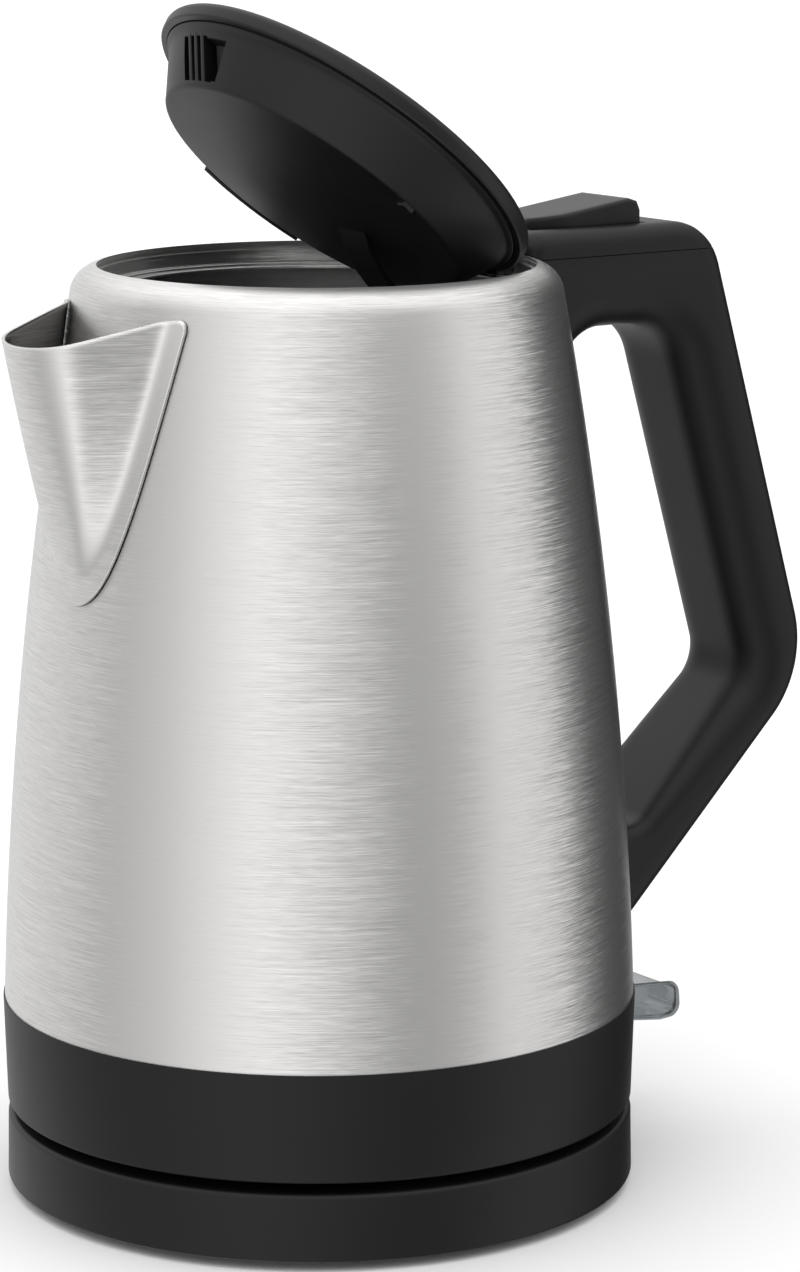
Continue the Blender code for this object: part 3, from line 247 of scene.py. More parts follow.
def machined_metal(name, colour, roughness, line_mm=0.3, contrast=0.12):
    """Turned or drawn metal: fine parallel lines, closer together than they are long, vary the
    colour and the gloss a little."""
    material, tree, shader, place = start_material(name, colour, roughness, 1.0)
    lines = add(tree, "ShaderNodeMapping", [("Vector", place)], vector_type="POINT")
    lines.inputs["Scale"].default_value = (120.0, 120.0, 1000 / line_mm)
    noise = add(tree, "ShaderNodeTexNoise", [("Vector", lines.outputs[0])], Scale=1.0,
                Detail=2.0)
    fac = noise.outputs["Fac"]
    tinted(tree, shader, colour, mapped(tree, fac, 1 - contrast, 1 + contrast))
    gloss = mapped(tree, fac, roughness - 0.06, roughness + 0.06)
    tree.links.new(gloss, shader.inputs["Roughness"])
    return material


screw_steel = machined_metal("zinc_plated_steel", "#b9bbbd", 0.30)
dress(screw_steel, "base_screw_1", "base_screw_2", "base_screw_3", "jug_screw_1", "jug_screw_2",
      "jug_screw_3", "button_pin", "hinge_pin", "lid_spring", "lever_pin",
      "handle_bracket_upper", "handle_bracket_lower")

# ---- round power connector ------------------------------------------------------------------
# The post in the middle of the base and the socket under the jug mate at any angle. Both are
# glass-filled nylon with ring contacts of brass, and a pin makes the earth.
nylon = moulded_plastic("glass_filled_nylon", "#3a3a3c", 0.55, grain_mm=0.4)
brass = machined_metal("contact_brass", "#c9a15a", 0.24)
dress(nylon, "base_connector", "jug_control")
dress(brass, "base_ring_outer", "base_ring_inner", "base_earth_contact", "jug_contact_outer",
      "jug_contact_inner", "jug_earth_pin")

# ---- jug collar -----------------------------------------------------------------------------
# A deep black band that carries the steel wall on a lip and hides the heater and the control.
# It flares very slightly upwards. A slot at the back lets the switch lever through.
collar_plastic = moulded_plastic("collar_polypropylene", "#0c0c0d", 0.46, specular=0.31)
collar_low, collar_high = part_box("jug_collar")
COLLAR_OUT = (collar_high.x - collar_low.x) / 2
COLLAR_Z, COLLAR_TOP = collar_low.z, collar_high.z
WALL_LEAN, WALL_CURVE = 0.0318, 0.43    # how the wall leans in: at its foot, and as it rises
WALL_FOOT = 0.07765                # outer radius of the steel wall at the collar's top


def wall(z):
    """Outer radius of the steel wall at a height: it leans in, more and more with height."""
    up = np.asarray(z) - COLLAR_TOP
    return WALL_FOOT - WALL_LEAN * up - WALL_CURVE * up ** 2


collar_section = rounded_section(
    [(COLLAR_OUT - 0.0030, COLLAR_Z), (COLLAR_OUT - 0.0008, COLLAR_Z),
     (COLLAR_OUT, COLLAR_TOP - 0.0006), (COLLAR_OUT - 0.00005, COLLAR_TOP),
     (WALL_FOOT + 0.00008, COLLAR_TOP), (WALL_FOOT + 0.00008, COLLAR_TOP - 0.0018),
     (COLLAR_OUT - 0.0030, COLLAR_TOP - 0.0028)], [0.0003, 0.0009, 0, 0, 0, 0, 0])
collar = turned_piece("collar_moulding", collar_section, collar_plastic, "jug",
                      ["jug_collar"])


def box_points(low, high):
    """The eight corners and six outward faces of a box."""
    low, high = np.asarray(low, float), np.asarray(high, float)
    pick = np.array([[i >> 2 & 1, i >> 1 & 1, i & 1] for i in range(8)])
    faces = [(0, 1, 3, 2), (4, 6, 7, 5), (0, 4, 5, 1), (2, 3, 7, 6), (0, 2, 6, 4), (1, 5, 7, 3)]
    return np.where(pick, high, low), faces


def facing_out(piece):
    """Turns a closed piece's faces outwards."""
    shape = bmesh.new()
    shape.from_mesh(piece.data)
    bmesh.ops.recalc_face_normals(shape, faces=shape.faces)
    shape.to_mesh(piece.data)
    shape.free()


def tool(points, faces, rounding=0.0, segments=3):
    """A closed mesh for cutting or welding with. Its sharp edges can be rounded."""
    mesh = bpy.data.meshes.new("tool")
    mesh.from_pydata(np.asarray(points, float).tolist(), [], [list(f) for f in faces])
    made = bpy.data.objects.new("tool", mesh)
    bpy.context.scene.collection.objects.link(made)
    facing_out(made)
    if rounding:
        soft = made.modifiers.new("soft", "BEVEL")
        soft.width, soft.segments, soft.limit_method = rounding, segments, "ANGLE"
        soft.angle_limit = math.radians(40)
    return made


def box_tool(low, high, rounding=0.0):
    """A box to cut with, given by two opposite corners."""
    return tool(*box_points(low, high), rounding, 4)


def cut_with(piece, cutter, operation="DIFFERENCE"):
    """Applies a boolean for good, so that its result is the piece's mesh, and removes its
    tool."""
    cut = piece.modifiers.new("cut", "BOOLEAN")
    cut.operation, cut.solver, cut.object = operation, "EXACT", cutter
    bpy.context.view_layer.update()
    result = bpy.data.meshes.new_from_object(
        piece.evaluated_get(bpy.context.evaluated_depsgraph_get()))
    piece.modifiers.clear()
    piece.data = result
    bpy.data.objects.remove(cutter)
    result.polygons.foreach_set("use_smooth", np.ones(len(result.polygons), bool))
    result.set_sharp_from_angle(angle=math.radians(32))


SLOT_HALF, SLOT_FOOT, SLOT_HEAD = 0.0126, COLLAR_Z + 0.0015, COLLAR_Z + 0.0175
cut_with(collar, box_tool((AXIS_X + 0.070, -SLOT_HALF, SLOT_FOOT),
                          (AXIS_X + 0.09, SLOT_HALF, SLOT_HEAD), 0.0012))

# ---- heater, seal and underside -------------------------------------------------------------
# The element is brazed to an aluminium plate under the stainless floor of the jug, and a
# silicone ring seals the floor to the wall. The underside cover is screwed to the collar.
silicone = moulded_plastic("seal_silicone", "#8e918f", 0.65)
floor_steel = machined_metal("floor_stainless", "#a9aaac", 0.28, line_mm=0.4)
dress(collar_plastic, "jug_underside_cover")
dress(silicone, "body_seal")
dress(floor_steel, "heater_plate", "heating_element", "bimetal_disc")
dress(machined_metal("diffuser_aluminium", "#c8c9cb", 0.42), "heat_diffuser")

# ---- steel wall -----------------------------------------------------------------------------
# One deep-drawn stainless shell, 0.8 mm thick, brushed round and round. Its shoulder rolls in
# to a rim, and two small steps inside the rim carry the lid.
WALL_THICK = 0.0008
STREAKS = ((90.0, 5200.0, 2.0), (40.0, 3600.0, 2.0), (220.0, 9500.0, 1.0))  # round, up, detail


def brushed_steel(name, colour="#d6d5d4", roughness=0.36, relief=0.25):
    """Stainless steel brushed round the jug: hair-thin scratches, 0.25 mm apart and drawn 0.4
    mm so that they show, run level for 10 to 30 mm. They streak the colour and the gloss, and
    stretch every reflection upright, because the scratches scatter light across themselves.
    Each streak also leans the surface a few degrees sideways, so that reflections fray there."""
    material, tree, shader, place = start_material(name, colour, roughness, 1.0)
    parts = []
    for across, along, detail in STREAKS:
        lines = add(tree, "ShaderNodeMapping", [("Vector", place)], vector_type="POINT")
        lines.inputs["Scale"].default_value = (across, across, along)
        parts.append(add(tree, "ShaderNodeTexNoise", [("Vector", lines.outputs[0])], Scale=1.0,
                         Detail=detail, Roughness=0.65).outputs["Fac"])
    fine_and_wide = add(tree, "ShaderNodeMath", operation="ADD")
    tree.links.new(parts[0], fine_and_wide.inputs[0])
    tree.links.new(parts[1], fine_and_wide.inputs[1])
    total = add(tree, "ShaderNodeMath", operation="ADD")
    tree.links.new(fine_and_wide.outputs[0], total.inputs[0])
    tree.links.new(parts[2], total.inputs[1])
    streaks = total.outputs[0]
    tinted(tree, shader, colour, mapped(tree, streaks, 0.86, 1.14, 1.05, 1.95))
    gloss = mapped(tree, streaks, roughness + 0.07, roughness - 0.07, 1.05, 1.95)
    tree.links.new(gloss, shader.inputs["Roughness"])
    bump = add(tree, "ShaderNodeBump", [("Height", streaks)], Strength=relief,
               Distance=0.00004)
    upright = add(tree, "ShaderNodeCombineXYZ", Z=1.0)
    level = add(tree, "ShaderNodeVectorMath", [(0, bump.outputs[0]), (1, upright.outputs[0])],
                operation="CROSS_PRODUCT")
    swing = mapped(tree, streaks, -0.13, 0.13, 0.9, 2.1)
    shift = add(tree, "ShaderNodeVectorMath", [(0, level.outputs[0]), ("Scale", swing)],
                operation="SCALE")
    leant = add(tree, "ShaderNodeVectorMath", [(0, bump.outputs[0]), (1, shift.outputs[0])],
                operation="ADD")
    even = add(tree, "ShaderNodeVectorMath", [(0, leant.outputs[0])], operation="NORMALIZE")
    tree.links.new(even.outputs[0], shader.inputs["Normal"])
    tree.links.new(upright.outputs[0], shader.inputs["Tangent"])
    shader.inputs["Anisotropic"].default_value = 0.7
    return material


steel = brushed_steel("brushed_stainless")
RIM_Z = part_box("jug_body")[1].z
SHOULDER = 0.0073
OPENING = 0.0521                   # radius inside the rim
LEDGE = RIM_Z - 0.0052
steel_low = COLLAR_TOP - 0.0014


def shoulder_points(inset, count=14):
    """The rolled shoulder: an arc that leaves the wall's curve smoothly and ends level at the
    rim. inset moves it inside the metal."""
    start_z = RIM_Z - SHOULDER
    for _ in range(8):
        slope = WALL_LEAN + 2 * WALL_CURVE * (start_z - COLLAR_TOP)
        lean = math.atan(slope)
        start_z = RIM_Z - SHOULDER + SHOULDER * math.sin(lean)
    centre = np.array([wall(start_z) - SHOULDER * math.cos(lean), RIM_Z - SHOULDER])
    turn_by = np.linspace(lean, math.pi / 2, count)
    ring = np.stack([np.cos(turn_by), np.sin(turn_by)], -1)
    return centre + ring * (SHOULDER - inset), start_z


outer_roll, roll_start = shoulder_points(0.0)
inner_roll, _ = shoulder_points(WALL_THICK)
levels = np.linspace(steel_low, roll_start, 40)
outer_wall = np.stack([wall(levels), levels], -1)[:-1]
inner_wall = np.stack([wall(levels) - WALL_THICK, levels], -1)[:-1]
STEP, DROP = 0.0019, 0.0007        # width and height of the steps that carry the lid
inside = rounded_section(
    [(OPENING, RIM_Z), (OPENING, LEDGE), (OPENING - STEP, LEDGE), (OPENING - STEP, LEDGE - DROP),
     (OPENING - 2 * STEP, LEDGE - DROP), (OPENING - 2 * STEP, LEDGE - DROP - WALL_THICK),
     (OPENING + WALL_THICK, LEDGE - DROP - WALL_THICK),
     (OPENING + WALL_THICK, RIM_Z - WALL_THICK - 0.0006)],
    [0.0006, 0.0003, 0.0003, 0.0002, 0.0003, 0.0002, 0, 0], 4)
steel_section = np.concatenate([outer_wall, outer_roll[:-1], inside, inner_roll[::-1][1:],
                                inner_wall[::-1]])
jug = turned_piece("jug_wall", steel_section, steel, "jug", ["jug_body"], 256)
spout_low, spout_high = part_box("spout")
POUR_HALF = 0.0125                 # half width of the pouring hole behind the spout
cut_with(jug, box_tool((AXIS_X - 0.075, -POUR_HALF, spout_low.z + 0.018),
                       (AXIS_X - 0.045, POUR_HALF, spout_high.z - 0.0135)))

# ---- spout ----------------------------------------------------------------------------------
# A V-shaped beak pressed from the same steel and welded over the pouring hole by a flat
# flange, whose edge stands out as a fine dark line. Its lip is cut straight, falling forwards.
FLANGE_HALF, BEAK_HALF = 0.0289, 0.0233       # half widths along the wall, at the lip
WIDTH_POWER = 0.34
KEEL_RISE = 0.0060                 # the beak starts this far above the flange's foot
SPOUT_TIP = AXIS_X - spout_low.x
SPOUT_TOP, LIP_OUT, LIP_SLOPE = RIM_Z - 0.0081, 0.0575, 0.24
SPOUT_RISE = SPOUT_TOP - spout_low.z
CORNER = 0.0028
ROOT_SOFT = 0.0013                 # how widely the fold at the beak's root is rounded
SPOUT_GAP = 0.0003                 # between the wall and the flange
NOSE_BACK, NOSE_POWER, NOSE_WIDE = 0.36, 2.6, 0.56    # the nose's share of depth and width


def spout_section(z, columns=201):
    """A level section of the spout's outside, edge to edge, as (out, across) points at equal
    spacing. The flange lies on the wall. The beak is a blunt rounded nose that runs into two
    straight sides, and its fold to the flange is rounded by averaging along the line."""
    up = z - spout_low.z
    radius = wall(z) + SPOUT_GAP + WALL_THICK
    flange = FLANGE_HALF * (up / SPOUT_RISE) ** WIDTH_POWER
    beak_up = max(up - KEEL_RISE, 0.0)
    beak = BEAK_HALF * (beak_up / (SPOUT_RISE - KEEL_RISE)) ** WIDTH_POWER
    tip_z = SPOUT_TOP - LIP_SLOPE * (SPOUT_TIP - LIP_OUT)
    at_tip = SPOUT_TIP - wall(tip_z) - SPOUT_GAP - WALL_THICK
    depth = at_tip * beak_up / (tip_z - spout_low.z - KEEL_RISE)
    back = np.linspace(0, 1, 90) ** 2
    rounded = np.sqrt(1 - (1 - np.minimum(back / NOSE_BACK, 1)) ** NOSE_POWER)
    share = NOSE_WIDE * rounded + (1 - NOSE_WIDE) * back
    root_out, root_wide = radius * math.cos(beak / radius), radius * math.sin(beak / radius)
    nose = radius + depth
    side = np.stack([nose - (nose - root_out) * back, root_wide * share], -1)
    on_flange = np.linspace(beak, flange, 40)[1:] / radius
    side = np.concatenate([side, radius * np.stack([np.cos(on_flange), np.sin(on_flange)], -1)])
    line = np.concatenate([side[:0:-1] * (1, -1), side])
    length = np.r_[0, np.cumsum(np.linalg.norm(np.diff(line, axis=0), axis=1))]
    spacing = length[-1] / (columns - 1)
    even = np.linspace(0, length[-1], columns)
    line = np.stack([np.interp(even, length, line[:, k]) for k in (0, 1)], -1)
    reach = int(min(3 * ROOT_SOFT / spacing, columns // 3))
    weights = np.exp(-0.5 * (np.arange(-reach, reach + 1) * spacing / ROOT_SOFT) ** 2)
    weights /= weights.sum()
    before = 2 * line[0] - line[reach:0:-1]
    after = 2 * line[-1] - line[-2:-reach - 2:-1]
    padded = np.concatenate([before, line, after])
    return np.stack([np.convolve(padded[:, k], weights, "valid") for k in (0, 1)], -1)


heights = spout_low.z + (SPOUT_RISE + 0.0012) * np.linspace(0.02, 1, 150) ** 2.2
sections = np.stack([spout_section(z) for z in heights])
edge_gap = np.cumsum(np.r_[0, np.linalg.norm(np.diff(sections[-1], axis=0), axis=1)])
edge_gap = np.minimum(edge_gap, edge_gap[-1] - edge_gap)
past_corner = np.maximum(CORNER - edge_gap, 0)        # the lip's two corners are rounded off
corner_drop = CORNER - np.sqrt(np.maximum(CORNER ** 2 - past_corner ** 2, 0))
lip = SPOUT_TOP - LIP_SLOPE * (sections[:, :, 0] - LIP_OUT) - corner_drop
below = heights[:, None] - lip
rows = 90
made = np.zeros((rows, sections.shape[1], 3))
for column in range(sections.shape[1]):
    top = np.interp(0.0, below[:, column], heights)
    z = heights[0] + (top - heights[0]) * np.linspace(0, 1, rows) ** 1.5
    made[:, column, 0] = AXIS_X - np.interp(z, heights, sections[:, column, 0])
    made[:, column, 1] = np.interp(z, heights, sections[:, column, 1])
    made[:, column, 2] = z
spout = make_piece("spout_pressing", made.reshape(-1, 3),
                   grid_faces(rows, made.shape[1])[:, ::-1], steel, "jug",
                   ["spout"], sharp=50)
metal = spout.modifiers.new("metal", "SOLIDIFY")
metal.thickness, metal.offset = WALL_THICK, -1.0
# The spout's inside is the same steel, painted a darker grey as painted shade for the shadowed
# inside of the beak.
spout.data.materials.append(brushed_steel("spout_inside_painted_shade", "#747372", 0.42))
metal.material_offset = 1

# ---- filter and steam tube ------------------------------------------------------------------
# A fine stainless mesh in a plastic frame clips behind the pouring hole. A tube at the back
# leads steam down to the switch in the collar.
inner_plastic = moulded_plastic("inner_polypropylene", "#121213", 0.5)
dress(inner_plastic, "filter_frame", "steam_tube")
# Woven wire reads as a fine crossed relief that breaks its shine into points.
mesh_steel, tree, shader, place = start_material("woven_filter_steel", "#9b9d9f", 0.35, 1.0)
weave = add(tree, "ShaderNodeTexBrick", [("Vector", place)], Scale=900.0)
bumped(tree, shader, weave.outputs["Fac"], 0.6, 0.0001)
dress(mesh_steel, "filter_mesh")

# ---- handle ---------------------------------------------------------------------------------
# One deep moulding stands off the wall: an upper arm, a grip that leans back, a round bend and
# a lower arm. A thin cover closes its top. Soft-touch paint gives it an even satin finish.
grip_plastic = moulded_plastic("grip_satin_paint", "#0a0a0b", 0.44, grain_mm=0.25, relief=0.06,
                              specular=0.30)
HANDLE_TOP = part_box("handle_top_cover")[1].z
COVER_SPLIT = HANDLE_TOP - 0.0083
HINGE_OUT = 0.048
HANDLE_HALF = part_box("handle_body")[1].y
BEND_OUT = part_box("handle_body")[1].x - AXIS_X
LEAN_DEGREES = 16.3                # how far the grip leans back from upright
LEAN = math.radians(LEAN_DEGREES)
INSIDE_WALL = 0.056                # outline points nearer the axis end up cut away
BEND_R, HEEL_R, NOSE_R = 0.028, 0.015, 0.0054       # outer roundings: bend, heel, front nose
FILLET_R, HOLE_R, ARCH_R = 0.008, 0.009, 0.014      # finger side: lower root, hole, arch
GRIP_DEPTH, ARM_DEPTH = 0.0180, 0.0148
EDGE_ROUND, FINGER_ROUND = 0.0046, 0.0100


def arc(centre, radius, start, end, steps):
    """Points of an arc between two angles in degrees, anticlockwise from +X."""
    angles = np.radians(np.linspace(start, end, steps))
    return np.stack([centre[0] + radius * np.cos(angles),
                     centre[1] + radius * np.sin(angles)], -1)


def with_radius(outline, radius):
    """An outline with the same edge rounding everywhere."""
    return np.insert(np.asarray(outline, float), 2, radius, axis=1)


def handle_outline():
    """Side view of the handle: out along the top, round the grip, in along the lower arm and
    back round the finger hole. Every stretch is a line or an arc, touching at its ends. The
    third number is how widely the edge is rounded there, which is most at the fingers."""
    bend = np.array([BEND_OUT - BEND_R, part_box("base_top_shell")[0].z + 0.1193])
    bend_start = bend + BEND_R * np.array([math.cos(LEAN), math.sin(LEAN)])
    heel_z = HANDLE_TOP - HEEL_R
    heel = (bend_start[0] - math.tan(LEAN) * (heel_z + HEEL_R * math.sin(LEAN) - bend_start[1])
            - HEEL_R * math.cos(LEAN), heel_z)
    half_root = math.sqrt(0.5)
    arm_end = bend + BEND_R * half_root * np.array([1, -1])
    inside = float(wall(COLLAR_TOP)) - 0.025
    level = arm_end[1] - arm_end[0] + ARM_DEPTH / half_root
    foot = float(wall(level + WALL_FOOT)) + 0.0006
    fillet = (foot + FILLET_R, level + foot + FILLET_R * (1 + 1 / half_root))
    past_grip = GRIP_DEPTH + HOLE_R - BEND_R
    past_arm = (ARM_DEPTH + HOLE_R - BEND_R) / half_root
    shift = (past_arm * math.cos(LEAN) - past_grip) / (math.cos(LEAN) + math.sin(LEAN))
    hole = (bend[0] + shift - past_arm, bend[1] + shift)
    hole_end = (hole[0] + HOLE_R * math.cos(LEAN), hole[1] + HOLE_R * math.sin(LEAN))
    arch_z = RIM_Z - 0.0200 - ARCH_R
    arch = (hole_end[0] - math.tan(LEAN) * (arch_z + ARCH_R * math.sin(LEAN) - hole_end[1])
            - ARCH_R * math.cos(LEAN), arch_z)
    near = (float(wall(arch_z)) + 0.0006 + ARCH_R, arch_z)
    nose = HINGE_OUT + 0.003
    loops = [
        arc((nose + NOSE_R, HANDLE_TOP - NOSE_R), NOSE_R, 180, 90, 9),
        arc(heel, HEEL_R, 90, LEAN_DEGREES, 22), arc(bend, BEND_R, LEAN_DEGREES, -45, 30),
        [(inside, arm_end[1] - (arm_end[0] - inside)), (inside, fillet[1] + 0.012),
         (fillet[0] - 0.0125, fillet[1] + 0.012)],
        arc(fillet, FILLET_R, 185, 315, 24), arc(hole, HOLE_R, -45, LEAN_DEGREES, 16),
        arc(arch, ARCH_R, LEAN_DEGREES, 90, 24), arc(near, ARCH_R, 90, 165, 20),
        [(nose, RIM_Z - 0.0320)]]
    soft = [EDGE_ROUND] * 5 + [FINGER_ROUND] * 3 + [EDGE_ROUND]
    return np.concatenate([with_radius(points, radius) for points, radius in zip(loops, soft)])


def evenly(loop, spacing, inside=0.0):
    """A closed loop with its long stretches split into steps no longer than spacing, other
    than those with an end nearer the axis than inside."""
    made = []
    for start, end in zip(loop, np.roll(loop, -1, 0)):
        hidden = min(start[0], end[0]) < inside
        length = np.linalg.norm((end - start)[:2])
        count = 1 if hidden else max(1, math.ceil(length / spacing))
        made.append(start + (end - start) * np.arange(count)[:, None] / count)
    return np.concatenate(made)


def inset(loop, amount):
    """Moves a clockwise outline inwards, each point along the mean of its two edges' normals
    and so far that both edges move by the amount. Sharp points are held back."""
    loop = loop[:, :2]
    along = np.roll(loop, -1, 0) - loop
    along /= np.maximum(np.linalg.norm(along, axis=1, keepdims=True), 1e-9)
    turned = np.stack([along[:, 1], -along[:, 0]], -1)
    normal = turned + np.roll(turned, 1, 0)
    normal /= np.maximum(np.linalg.norm(normal, axis=1, keepdims=True), 1e-9)
    sharpest = 0.3
    spread = np.maximum((normal * turned).sum(1, keepdims=True), sharpest)
    return loop + normal * amount / spread


def rounded_prism(loop, half, steps=12, middle=9):
    """A plate with rounded edges: copies of its outline stacked across it and closed at both
    faces. Where an outline point's radius reaches a copy, the point is pulled in by a quarter
    circle. Outline points are (x from the axis, z, radius)."""
    radius = loop[:, 2:]
    widest = radius.max()
    edge = -half + widest * (1 - np.cos(np.linspace(0, math.pi / 2, steps)))
    across = np.concatenate([edge, np.linspace(edge[-1], -edge[-1], middle)[1:-1], -edge[::-1]])
    layers = []
    for y in across:
        into = np.clip((abs(y) - half + radius) / radius, 0, 1)
        layers.append(np.insert(inset(loop, radius * (1 - np.sqrt(1 - into ** 2))), 1, y, axis=1))
    count = len(loop)
    faces = grid_faces(len(layers), count, False, True).tolist()
    faces.append(list(range(count))[::-1])
    faces.append([(len(layers) - 1) * count + i for i in range(count)])
    points = np.concatenate(layers)
    points[:, 0] += AXIS_X
    return points, faces


def wall_tool():
    """The room that the steel wall and its shoulder take up, 0.3 mm larger all over."""
    gap = 0.0003
    z = np.linspace(COLLAR_TOP - 0.03, roll_start, 60)
    side = np.stack([wall(np.maximum(z, COLLAR_TOP)) + gap, z], -1)
    roll, _ = shoulder_points(-gap)
    section = np.concatenate([[(0.0001, z[0])], side[:-1], roll, [(0.0001, RIM_Z + gap)]])
    around = 160
    return tool(turn(section, around), grid_faces(len(section), around, True, True))


handle_loop = evenly(handle_outline(), 0.0025, INSIDE_WALL)
handle_points, handle_faces = rounded_prism(handle_loop, HANDLE_HALF)
PAST_GRIP = AXIS_X + 0.17           # beyond the grip, for tools that cut right across
handle = make_piece("handle_moulding", handle_points, handle_faces, grip_plastic, "jug",
                    ["handle_body"])
facing_out(handle)
handle_cover = make_piece("handle_cover_moulding", handle_points, handle_faces, grip_plastic,
                          "jug", ["handle_top_cover"])
facing_out(handle_cover)
button_low, button_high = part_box("lid_button")
cut_with(handle, wall_tool())
SEAM_Z = COVER_SPLIT + 0.0014      # the hairline between cover and handle
cut_with(handle, box_tool((AXIS_X, -0.03, SEAM_Z - 0.0001), (PAST_GRIP, 0.03, 0.26)))
cut_with(handle, box_tool((AXIS_X + 0.060, -0.0115, COVER_SPLIT - 0.0085),
                          (AXIS_X + 0.092, 0.0115, COVER_SPLIT + 0.004)))
cut_with(handle_cover, box_tool((AXIS_X, -0.03, 0.0), (PAST_GRIP, 0.03, SEAM_Z + 0.0001)))
cut_with(handle_cover, wall_tool())
cut_with(handle_cover, box_tool((button_low.x - 0.0004, button_low.y - 0.0005, 0.20),
                                (button_high.x + 0.0013, button_high.y + 0.0005, 0.26)))

# ---- lid -------------------------------------------------------------------------------------
# The lid is a shallow black cap over a tapering plug. It is drawn here closed, in the jug's
# own axes, and then swung open about the hinge pin, which is how it rests.
lid_plastic = moulded_plastic("lid_polypropylene", "#0f0f10", 0.42)
plug_plastic = moulded_plastic("lid_plug_polypropylene", "#0d0d0e", 0.46)
LID_TOP = RIM_Z - 0.0005
HINGE_Z = RIM_Z + 0.0020
LID_OUT, SPLIT = 0.0511, LID_TOP - 0.0043
OPEN = math.radians(39.6)


def opened(points):
    """Swings closed-lid points, measured from the jug's axis, about the hinge pin."""
    x, y, z = (np.asarray(points, float)[:, k] for k in range(3))
    x, z = x - HINGE_OUT, z - HINGE_Z
    return np.stack([AXIS_X + HINGE_OUT + x * math.cos(OPEN) + z * math.sin(OPEN), y,
                     HINGE_Z - x * math.sin(OPEN) + z * math.cos(OPEN)], -1)


def disc_faces(rows, columns):
    """Faces for rings that start from a pole: a fan in the first ring, then quads."""
    rings = grid_faces(rows, columns, False, True) + 1
    ring = np.arange(columns)
    fan = np.stack([np.zeros(columns, int), 1 + ring, 1 + (ring + 1) % columns], -1)
    return fan.tolist() + rings.tolist()


def lathe_solid(section, around):
    """A closed solid turned about x = y = 0 from an open section that starts and ends on that
    axis. Both ends are fans round a pole."""
    section = np.asarray(section, float)
    inner = section[1:-1]
    angles = np.linspace(0, math.tau, around, endpoint=False)
    ring = np.stack([inner[:, :1] * np.cos(angles), inner[:, :1] * np.sin(angles),
                     inner[:, 1:] + 0 * angles], -1).reshape(-1, 3)
    points = np.concatenate([[(0, 0, section[0, 1])], ring, [(0, 0, section[-1, 1])]])
    faces = disc_faces(len(inner), around)
    last, base = len(points) - 1, 1 + (len(inner) - 1) * around
    count = np.arange(around)
    faces += np.stack([np.full(around, last), base + (count + 1) % around, base + count],
                      -1).tolist()
    return points, faces


def prism_points(outline, low, high):
    """A plain plate from an outline in x and z, between two y planes."""
    outline = np.asarray(outline, float)
    count = len(outline)
    points = np.concatenate([np.insert(outline, 1, low, axis=1),
                             np.insert(outline, 1, high, axis=1)])
    i = np.arange(count)
    j = (i + 1) % count
    faces = np.stack([i, j, j + count, i + count], -1).tolist()
    return points, faces + [list(range(count))[::-1], list(range(count, 2 * count))]


def union_with(piece, points, faces, rounding=0.0):
    """Welds another closed shape onto a piece."""
    cut_with(piece, tool(points, faces, rounding), "UNION")


CAP_WALL, CAP_ROUND = 0.0018, 0.0020
PLUG_LOW = LID_TOP - 0.0177
NOTCH_IN, NOTCH_HALF = 0.0438, 0.0120         # the gap in the cap's rim for the hinge
cover_section = [(0, LID_TOP), (0.020, LID_TOP), (0.040, LID_TOP)]
cover_section += arc((LID_OUT - CAP_ROUND, LID_TOP - CAP_ROUND), CAP_ROUND, 90, 0, 8).tolist()
cover_section += [(LID_OUT - 0.0003, SPLIT + 0.0004), (LID_OUT - 0.0007, SPLIT),
                  (LID_OUT - 0.0021, SPLIT), (LID_OUT - 0.0021, LID_TOP - CAP_WALL),
                  (0.03, LID_TOP - CAP_WALL), (0, LID_TOP - CAP_WALL)]
points, faces = lathe_solid(cover_section, 200)
lid_cover = make_piece("lid_cap", points, faces, lid_plastic, "lid",
                       ["lid_cover"])
facing_out(lid_cover)
notch_low = (NOTCH_IN, -NOTCH_HALF, LID_TOP - 0.03)
notch_high = (0.06, NOTCH_HALF, LID_TOP + 0.01)
cut_with(lid_cover, box_tool(notch_low, notch_high))
arm_top = HINGE_Z + 0.0022
arm_outline = [(HINGE_OUT - 0.0075, LID_TOP - 0.001), (HINGE_OUT - 0.0020, LID_TOP - 0.001)]
arm_outline += arc((HINGE_OUT, HINGE_Z), 0.0023, -70, 95, 16).tolist()
arm_outline += [(HINGE_OUT - 0.0045, arm_top - 0.0012), (HINGE_OUT - 0.0075, LID_TOP + 0.0006)]
union_with(lid_cover, *prism_points(arm_outline, -0.0050, 0.0050), 0.0004)


def reopen(piece):
    """Swings a piece that was drawn closed into the open place, in its mesh."""
    count = len(piece.data.vertices)
    flat = np.empty(count * 3)
    piece.data.vertices.foreach_get("co", flat)
    piece.data.vertices.foreach_set("co", opened(flat.reshape(-1, 3)).ravel())
    piece.data.update()
    piece.data.set_sharp_from_angle(angle=math.radians(32))


reopen(lid_cover)

PLUG_OUT, FLANGE_ROOT = 0.0415, 0.0468
FLANK_TOP, FLANK_FOOT = 0.0068, 0.0163        # depths below the lid's top
SEAM = SPLIT - 0.0003
flange_out = LID_OUT - 0.0003 - CAP_WALL - 0.0003
plug_section = [(0, PLUG_LOW), (0.02, PLUG_LOW)]
plug_section += arc((PLUG_OUT - 0.0014, PLUG_LOW + 0.0014), 0.0014, -90, -15, 6).tolist()
plug_section += [(FLANGE_ROOT, SEAM - 0.0022), (FLANGE_ROOT + 0.0003, SEAM - 0.0013),
                 (FLANGE_ROOT + 0.0008, SEAM - 0.0007), (flange_out - 0.0004, SEAM - 0.0004),
                 (flange_out, SEAM), (flange_out, LID_TOP - 0.0021),
                 (0, LID_TOP - 0.0021)]
points, faces = lathe_solid(plug_section, 200)
plug = make_piece("lid_plug", points, faces, plug_plastic, "lid",
                  ["lid_inner"])
facing_out(plug)
cut_with(plug, box_tool(notch_low, notch_high))


